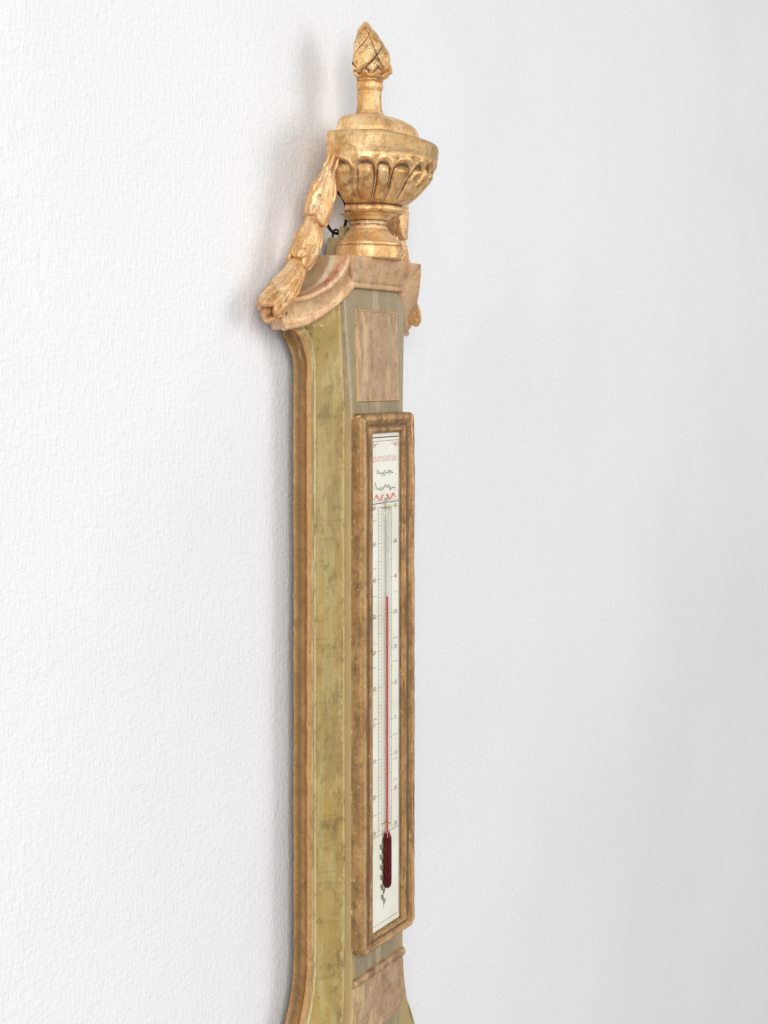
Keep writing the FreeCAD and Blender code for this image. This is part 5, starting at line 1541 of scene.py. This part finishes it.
def buildDialFrame():
    inner, outer = dial["inner"], dial["outer"]
    profile = roundOff([(inner, 35.0), (inner, 37.0), (inner + 1.0, 38.4), (inner + 3.6, 39.2),
                        (inner + 4.8, 38.8),
                        (inner + 5.6, 38.4), (inner + 10.4, 38.4), (inner + 11.4, 39.6),
                        (inner + 12.4, 41.4),
                        (inner + 14.2, 42.4), (inner + 16.5, 41.8), (inner + 18.6, 40.2),
                        (inner + 20.0, 38.6),
                        (outer - 1.2, 38.0), (outer - 0.2, 37.4), (outer, 36.6), (outer, 35.0)], 2)

    def leaves(radius, depth, angle):
        # a ring of pointed leaf tips carved on the outer slope
        u = np.abs(((angle * dial["leaves"] / (2 * math.pi)) % 1.0) - 0.5) * 2
        band = smoothStep(inner + 11.0, inner + 12.6,
                          radius) * (1 - smoothStep(outer - 3.0, outer - 1.6, radius))
        t = np.clip((radius - inner - 11.6) / 9.0, 0, 1)
        width = np.sqrt(np.clip(1 - t ** 2, 0, 1)) * 0.95
        leaf = np.clip(1 - (u / np.maximum(width, 0.05)) ** 2, 0, 1)
        vein = np.exp(-(u / 0.12) ** 2) * 0.5
        return radius, depth + band * (0.9 * np.sqrt(leaf) - vein * leaf - 0.9)

    points = ringGrid(profile, 90, 720, leaves)
    points = points + (fractal(points, 12, 151) * 0.15)[..., None]
    Piece("dialFrame").grid(points, True, True).finish(gilt, "case", "gilt_wood", ["dial_frame"], 5, 0.5)
    # pearls side by side on a thin strip
    piece = Piece("dialBeadRing")
    middle = dial["beadCircle"]
    strip = ringGrid([(middle - 2.1, 38.3), (middle - 1.9, 39.0), (middle + 1.9, 39.0),
                      (middle + 2.1, 38.3)], 8, 180)
    piece.grid(strip, False, True)
    u = np.linspace(0, math.pi, 12)[:, None]
    v = np.linspace(0, 2 * math.pi, 16, endpoint=False)[None, :]
    rng = np.random.default_rng(8)
    for k in range(dial["beads"]):
        a = 2 * math.pi * k / dial["beads"]
        size = dial["beadSize"] * rng.uniform(0.94, 1.04)
        x = middle * math.sin(a) + size * np.sin(u) * np.cos(v)
        z = middle * math.cos(a) + size * np.sin(u) * np.sin(v)
        piece.grid(stack(x, 39.6 + size * np.cos(u) + 0 * v, z), False, True, True)
    piece.finish(gilt, "case", "carved_gilt", ["dial_bead_ring"], 3, 0.5)


def buildDialPlate():
    depth = dial["plateDepth"]
    plate = dial["plate"]
    points = ringGrid([(3.6, depth), (plate, depth), (plate, depth - 2.0), (3.6, depth - 2.0)], 60, 240)
    Piece("dialPlate").grid(points, True, True, True).finish(paper, "case", "paper", ["dial_plate"], 2, 0.3)
    black = Print("dialBlackInk", depth + 0.06)
    red = Print("dialRedInk", depth + 0.06)
    wash = Print("dialGreenWash", depth + 0.05)

    def circle(ink, radius, width):
        a = np.linspace(0, 2 * math.pi, 241)
        ink.stroke(np.stack([radius * np.sin(a), radius * np.cos(a)], -1), np.full(241, width))

    for radius, width in ((63.5, 0.35), (62.5, 0.18), (58.0, 0.18), (47.5, 0.15), (46.6, 0.3)):
        circle(black, radius, width)
    lineTurn = dial["turnPerInch"] / 24
    for k in range(-30, 31):
        a = math.radians(k * lineTurn)
        long = k % 2 == 0
        reach = 58.0 if long else 60.0
        black.line((reach * math.sin(a), reach * math.cos(a)), (62.5 * math.sin(a), 62.5 * math.cos(a)),
                   0.26 if long else 0.15)
    for inches in (27, 28):
        a = math.radians((inches - 27.5) * dial["turnPerInch"])
        black.word(str(inches), 52.7 * math.sin(a), 52.7 * math.cos(a), 7.0, -a)
    for inches in (26.5, 26.75, 27.25, 27.5, 27.75, 28.25, 28.5):
        a = math.radians((inches - 27.5) * dial["turnPerInch"])
        lines = int(round((inches % 1) * 12))
        black.word(str(lines), 54.2 * math.sin(a), 54.2 * math.cos(a), 3.8, -a)
    # sixteen-pointed star in the middle
    for k in range(16):
        a = math.radians(22.5 * k)
        tip = 31.0 if k % 2 == 0 else 22.0
        ink = red if k % 2 == 0 else wash
        half = math.radians(11.25)
        inner = 10.0
        ink.add([(tip * math.sin(a), tip * math.cos(a)),
                 (inner * math.sin(a - half), inner * math.cos(a - half)),
                 (6 * math.sin(a), 6 * math.cos(a)),
                 (inner * math.sin(a + half), inner * math.cos(a + half))],
                [[0, 1, 2, 3]])
    circle(black, 9.2, 0.25)
    circle(black, 34.0, 0.2)
    for k in range(24):
        a = math.radians(15 * k + 7.5)
        t = np.linspace(0, 1, 16)
        r = 36 + 8 * t
        bend = a + 0.10 * np.sin(t * math.pi)
        wash.stroke(np.stack([r * np.sin(bend), r * np.cos(bend)], -1),
                    1.6 * np.sin(math.pi * (0.08 + 0.88 * t)))
    black.finish(blackInk, "case", "paper")
    red.finish(redInk, "case", "paper")
    wash.finish(greenWash, "case", "paper")


pendant = {
    "half": 46.0, "lowZ": -214.0, "crestLow": -137.5, "crestTop": -88.0, "berryRadius": 9.0,
           "berryZ": -219.0,
}


def buildPendant():
    half, lowZ, crestLow = pendant["half"], pendant["lowZ"], pendant["crestLow"]
    inner = -math.sqrt(case["roundRadius"] ** 2 - half ** 2)

    def halfAt(z):
        t = np.clip((z - inner) / (lowZ - inner), 0, 1)
        plain = half * (1 - t) ** 1.6 + 16.0 * np.sin(math.pi * t) * t + 13.0 * t
        lobes = 1.6 * np.abs(np.sin(t * math.pi * 5)) * (1 - t * 0.5)
        return plain + lobes - 1.2

    def height(x, z):
        # acanthus: domed body, a midrib and veins that fan out to the lobes
        u = np.clip(np.abs(x) / halfAt(z), 0, 1)
        t = np.clip((z - inner) / (lowZ - inner), 0, 1)
        dome = 15.0 + 10.5 * np.sqrt(np.clip(1 - u ** 2, 0, 1))
        vein = np.abs(np.sin((t * 5 - u * 1.6) * math.pi))
        rib = 2.2 * np.exp(-(u / 0.10) ** 2)
        return dome + rib + 1.7 * vein ** 0.6 * smoothStep(0.08, 0.3, u) - 1.2

    rows = plateGrid(halfAt, inner - 1.0, lowZ, 150, 150, height, 6.0)
    bow = np.sqrt(np.clip(case["roundRadius"] ** 2 - rows[..., 0] ** 2, 0, None))
    topPull = 1 - smoothStep(0, 0.35, (inner - rows[..., 2]) / 80.0)
    rows[..., 2] = rows[..., 2] + (-bow - inner) * topPull
    rows = rows + (fractal(rows, 8, 161) * 0.25)[..., None] * (rows[..., 1:2] > 8)
    Piece("pendantCarving").grid(rows, False, False, False).finish(gilt, "case", "gilt_wood", ["pendant"],
                                                                   5, 0.7)

    def crestHalf(z):
        t = np.clip((z - crestLow) / 50.0, 0, 1)
        return 2 + 27.0 * np.sin(math.pi * t ** 0.8) ** 0.8 + 1.5 * np.abs(np.sin(t * math.pi * 4))

    def crestHeight(x, z):
        u = np.clip(np.abs(x) / crestHalf(z), 0, 1)
        t = np.clip((z - crestLow) / 50.0, 0, 1)
        curl = 4.0 * np.exp(-((t - 0.12) / 0.14) ** 2)
        vein = np.abs(np.sin((t * 4 + u * 1.3) * math.pi))
        dome = 29.0 + 7.5 * np.sqrt(np.clip(1 - u ** 2, 0, 1))
        return dome + 1.4 * vein * smoothStep(0.1, 0.3, u) + curl + 1.6 * np.exp(-(u / 0.1) ** 2)

    crest = plateGrid(crestHalf, crestLow, pendant["crestTop"], 110, 120, crestHeight, 17.0)
    crest = crest + (fractal(crest, 8, 163) * 0.25)[..., None] * (crest[..., 1:2] > 18)
    Piece("pendantLeaf").grid(crest, False, False, True).finish(gilt, "case", "carved_gilt",
                                                                ["pendant_leaf"], 5, 0.7)
    # ribbed berry below
    v = np.linspace(0, math.pi, 50)[:, None]
    a = np.linspace(0, 2 * math.pi, 90, endpoint=False)[None, :]
    radius = pendant["berryRadius"] * np.sin(v) ** 0.9 * (1 + 0.07 * np.abs(np.sin(a * 5 + v * 2)))
    x = radius * np.sin(a)
    depth = 13.0 + radius * np.cos(a)
    z = pendant["berryZ"] + 9.5 * np.cos(v) + 0 * a
    berry = stack(x, np.maximum(depth, 4.0), np.minimum(z, -213.6))
    Piece("pendantDrop").grid(berry, False, True, True).finish(gilt, "case", "carved_gilt",
                                                               ["pendant_drop"], 4, 0.5)


buildDialFrame()
buildDialPlate()
buildPendant()
print("dial and pendant built")


# works, glass and back keep their CAD shapes and get real materials
kept = {
    "back_board": rawWood, "hanger_tab": tabWood, "dial_glass": clear, "glass_bush": brass,
        "dial_spacer_ring": paper,
    "dial_bush": brass, "rear_bearing": brass, "indicator_arbor": blued, "indicator_pulley": brass,
    "pulley_thread": silk, "indicator_hand": blued, "set_hand": brass, "set_knob": brass,
        "barometer_tube": stemGlass,
    "mercury_body": quicksilver, "mercury_short_column": quicksilver, "mercury_long_column": quicksilver,
    "float_weight": clear, "counterweight": clear, "float_thread": silk, "counterweight_thread": silk,
    "tube_strap_lower": brass, "tube_strap_upper": brass, "strap_screws": blued,
}
for name, material in kept.items():
    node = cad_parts[name]
    node.data.materials.clear()
    node.data.materials.append(material)
print("kept pieces dressed")


def wallShader():
    # rough woven lining painted grey-white
    s = Shader("paintedLinenWall")
    warp = s.noise(460, 3, (1, 1, 0.35), 0.6)
    weft = s.noise(460, 3, (0.35, 1, 1), 0.6)
    broad = s.noise(2.2, 4)
    color = s.mix(s.span(broad, 0.35, 0.7), (0.82, 0.82, 0.82), (0.77, 0.77, 0.773))
    s.set(Base_Color=color, Roughness=0.85)
    s.bump(s.math("ADD", warp, weft), 0.6, 0.0012)
    return s.material


def buildStage():
    mesh = bpy.data.meshes.new("wall")
    # the case hangs from its ring a finger's breadth off the wall
    y = 0.010
    mesh.from_pydata([(-4, y, -2.6), (5, y, -2.6), (5, y, 3.4), (-4, y, 3.4)], [], [[0, 1, 2, 3]])
    wall = bpy.data.objects.new("wall", mesh)
    bpy.context.scene.collection.objects.link(wall)
    mesh.materials.append(wallShader())


def addLight(name, place, target, size, power, color):
    lamp = bpy.data.lights.new(name, "AREA")
    lamp.shape = "RECTANGLE"
    lamp.size, lamp.size_y = size
    lamp.energy = power
    lamp.color = color
    thing = bpy.data.objects.new(name, lamp)
    thing.location = place
    thing.rotation_mode = "QUATERNION"
    thing.rotation_quaternion = (Vector(target) - Vector(place)).to_track_quat("-Z", "Y")
    bpy.context.scene.collection.objects.link(thing)


buildStage()
addLight("keyRight", (1.5, -2.9, 1.2), (0, 0, 0.40), (1.5, 1.8), 36, (1.0, 0.99, 0.98))
addLight("fillLeft", (-2.0, -1.7, 1.1), (0, 0, 0.45), (1.3, 1.8), 55, (1.0, 0.99, 0.985))
world = bpy.data.worlds.new("studio")
world.use_nodes = True
world.node_tree.nodes["Background"].inputs["Color"].default_value = (0.97, 0.98, 1.0, 1)
world.node_tree.nodes["Background"].inputs["Strength"].default_value = 0.42
bpy.context.scene.world = world
bpy.context.scene.view_settings.view_transform = "Standard"

lens = bpy.data.cameras.new("mainCamera")
lens.lens = 51.64
lens.sensor_width = 36.0
lens.shift_y = -0.1338
lens.clip_start = 0.05
camera = bpy.data.objects.new("mainCamera", lens)
camera.location = (-0.8986, -0.5587, 0.5825)
camera.rotation_euler = (math.radians(90), 0, math.radians(-60))
bpy.context.scene.collection.objects.link(camera)
bpy.context.scene.camera = camera
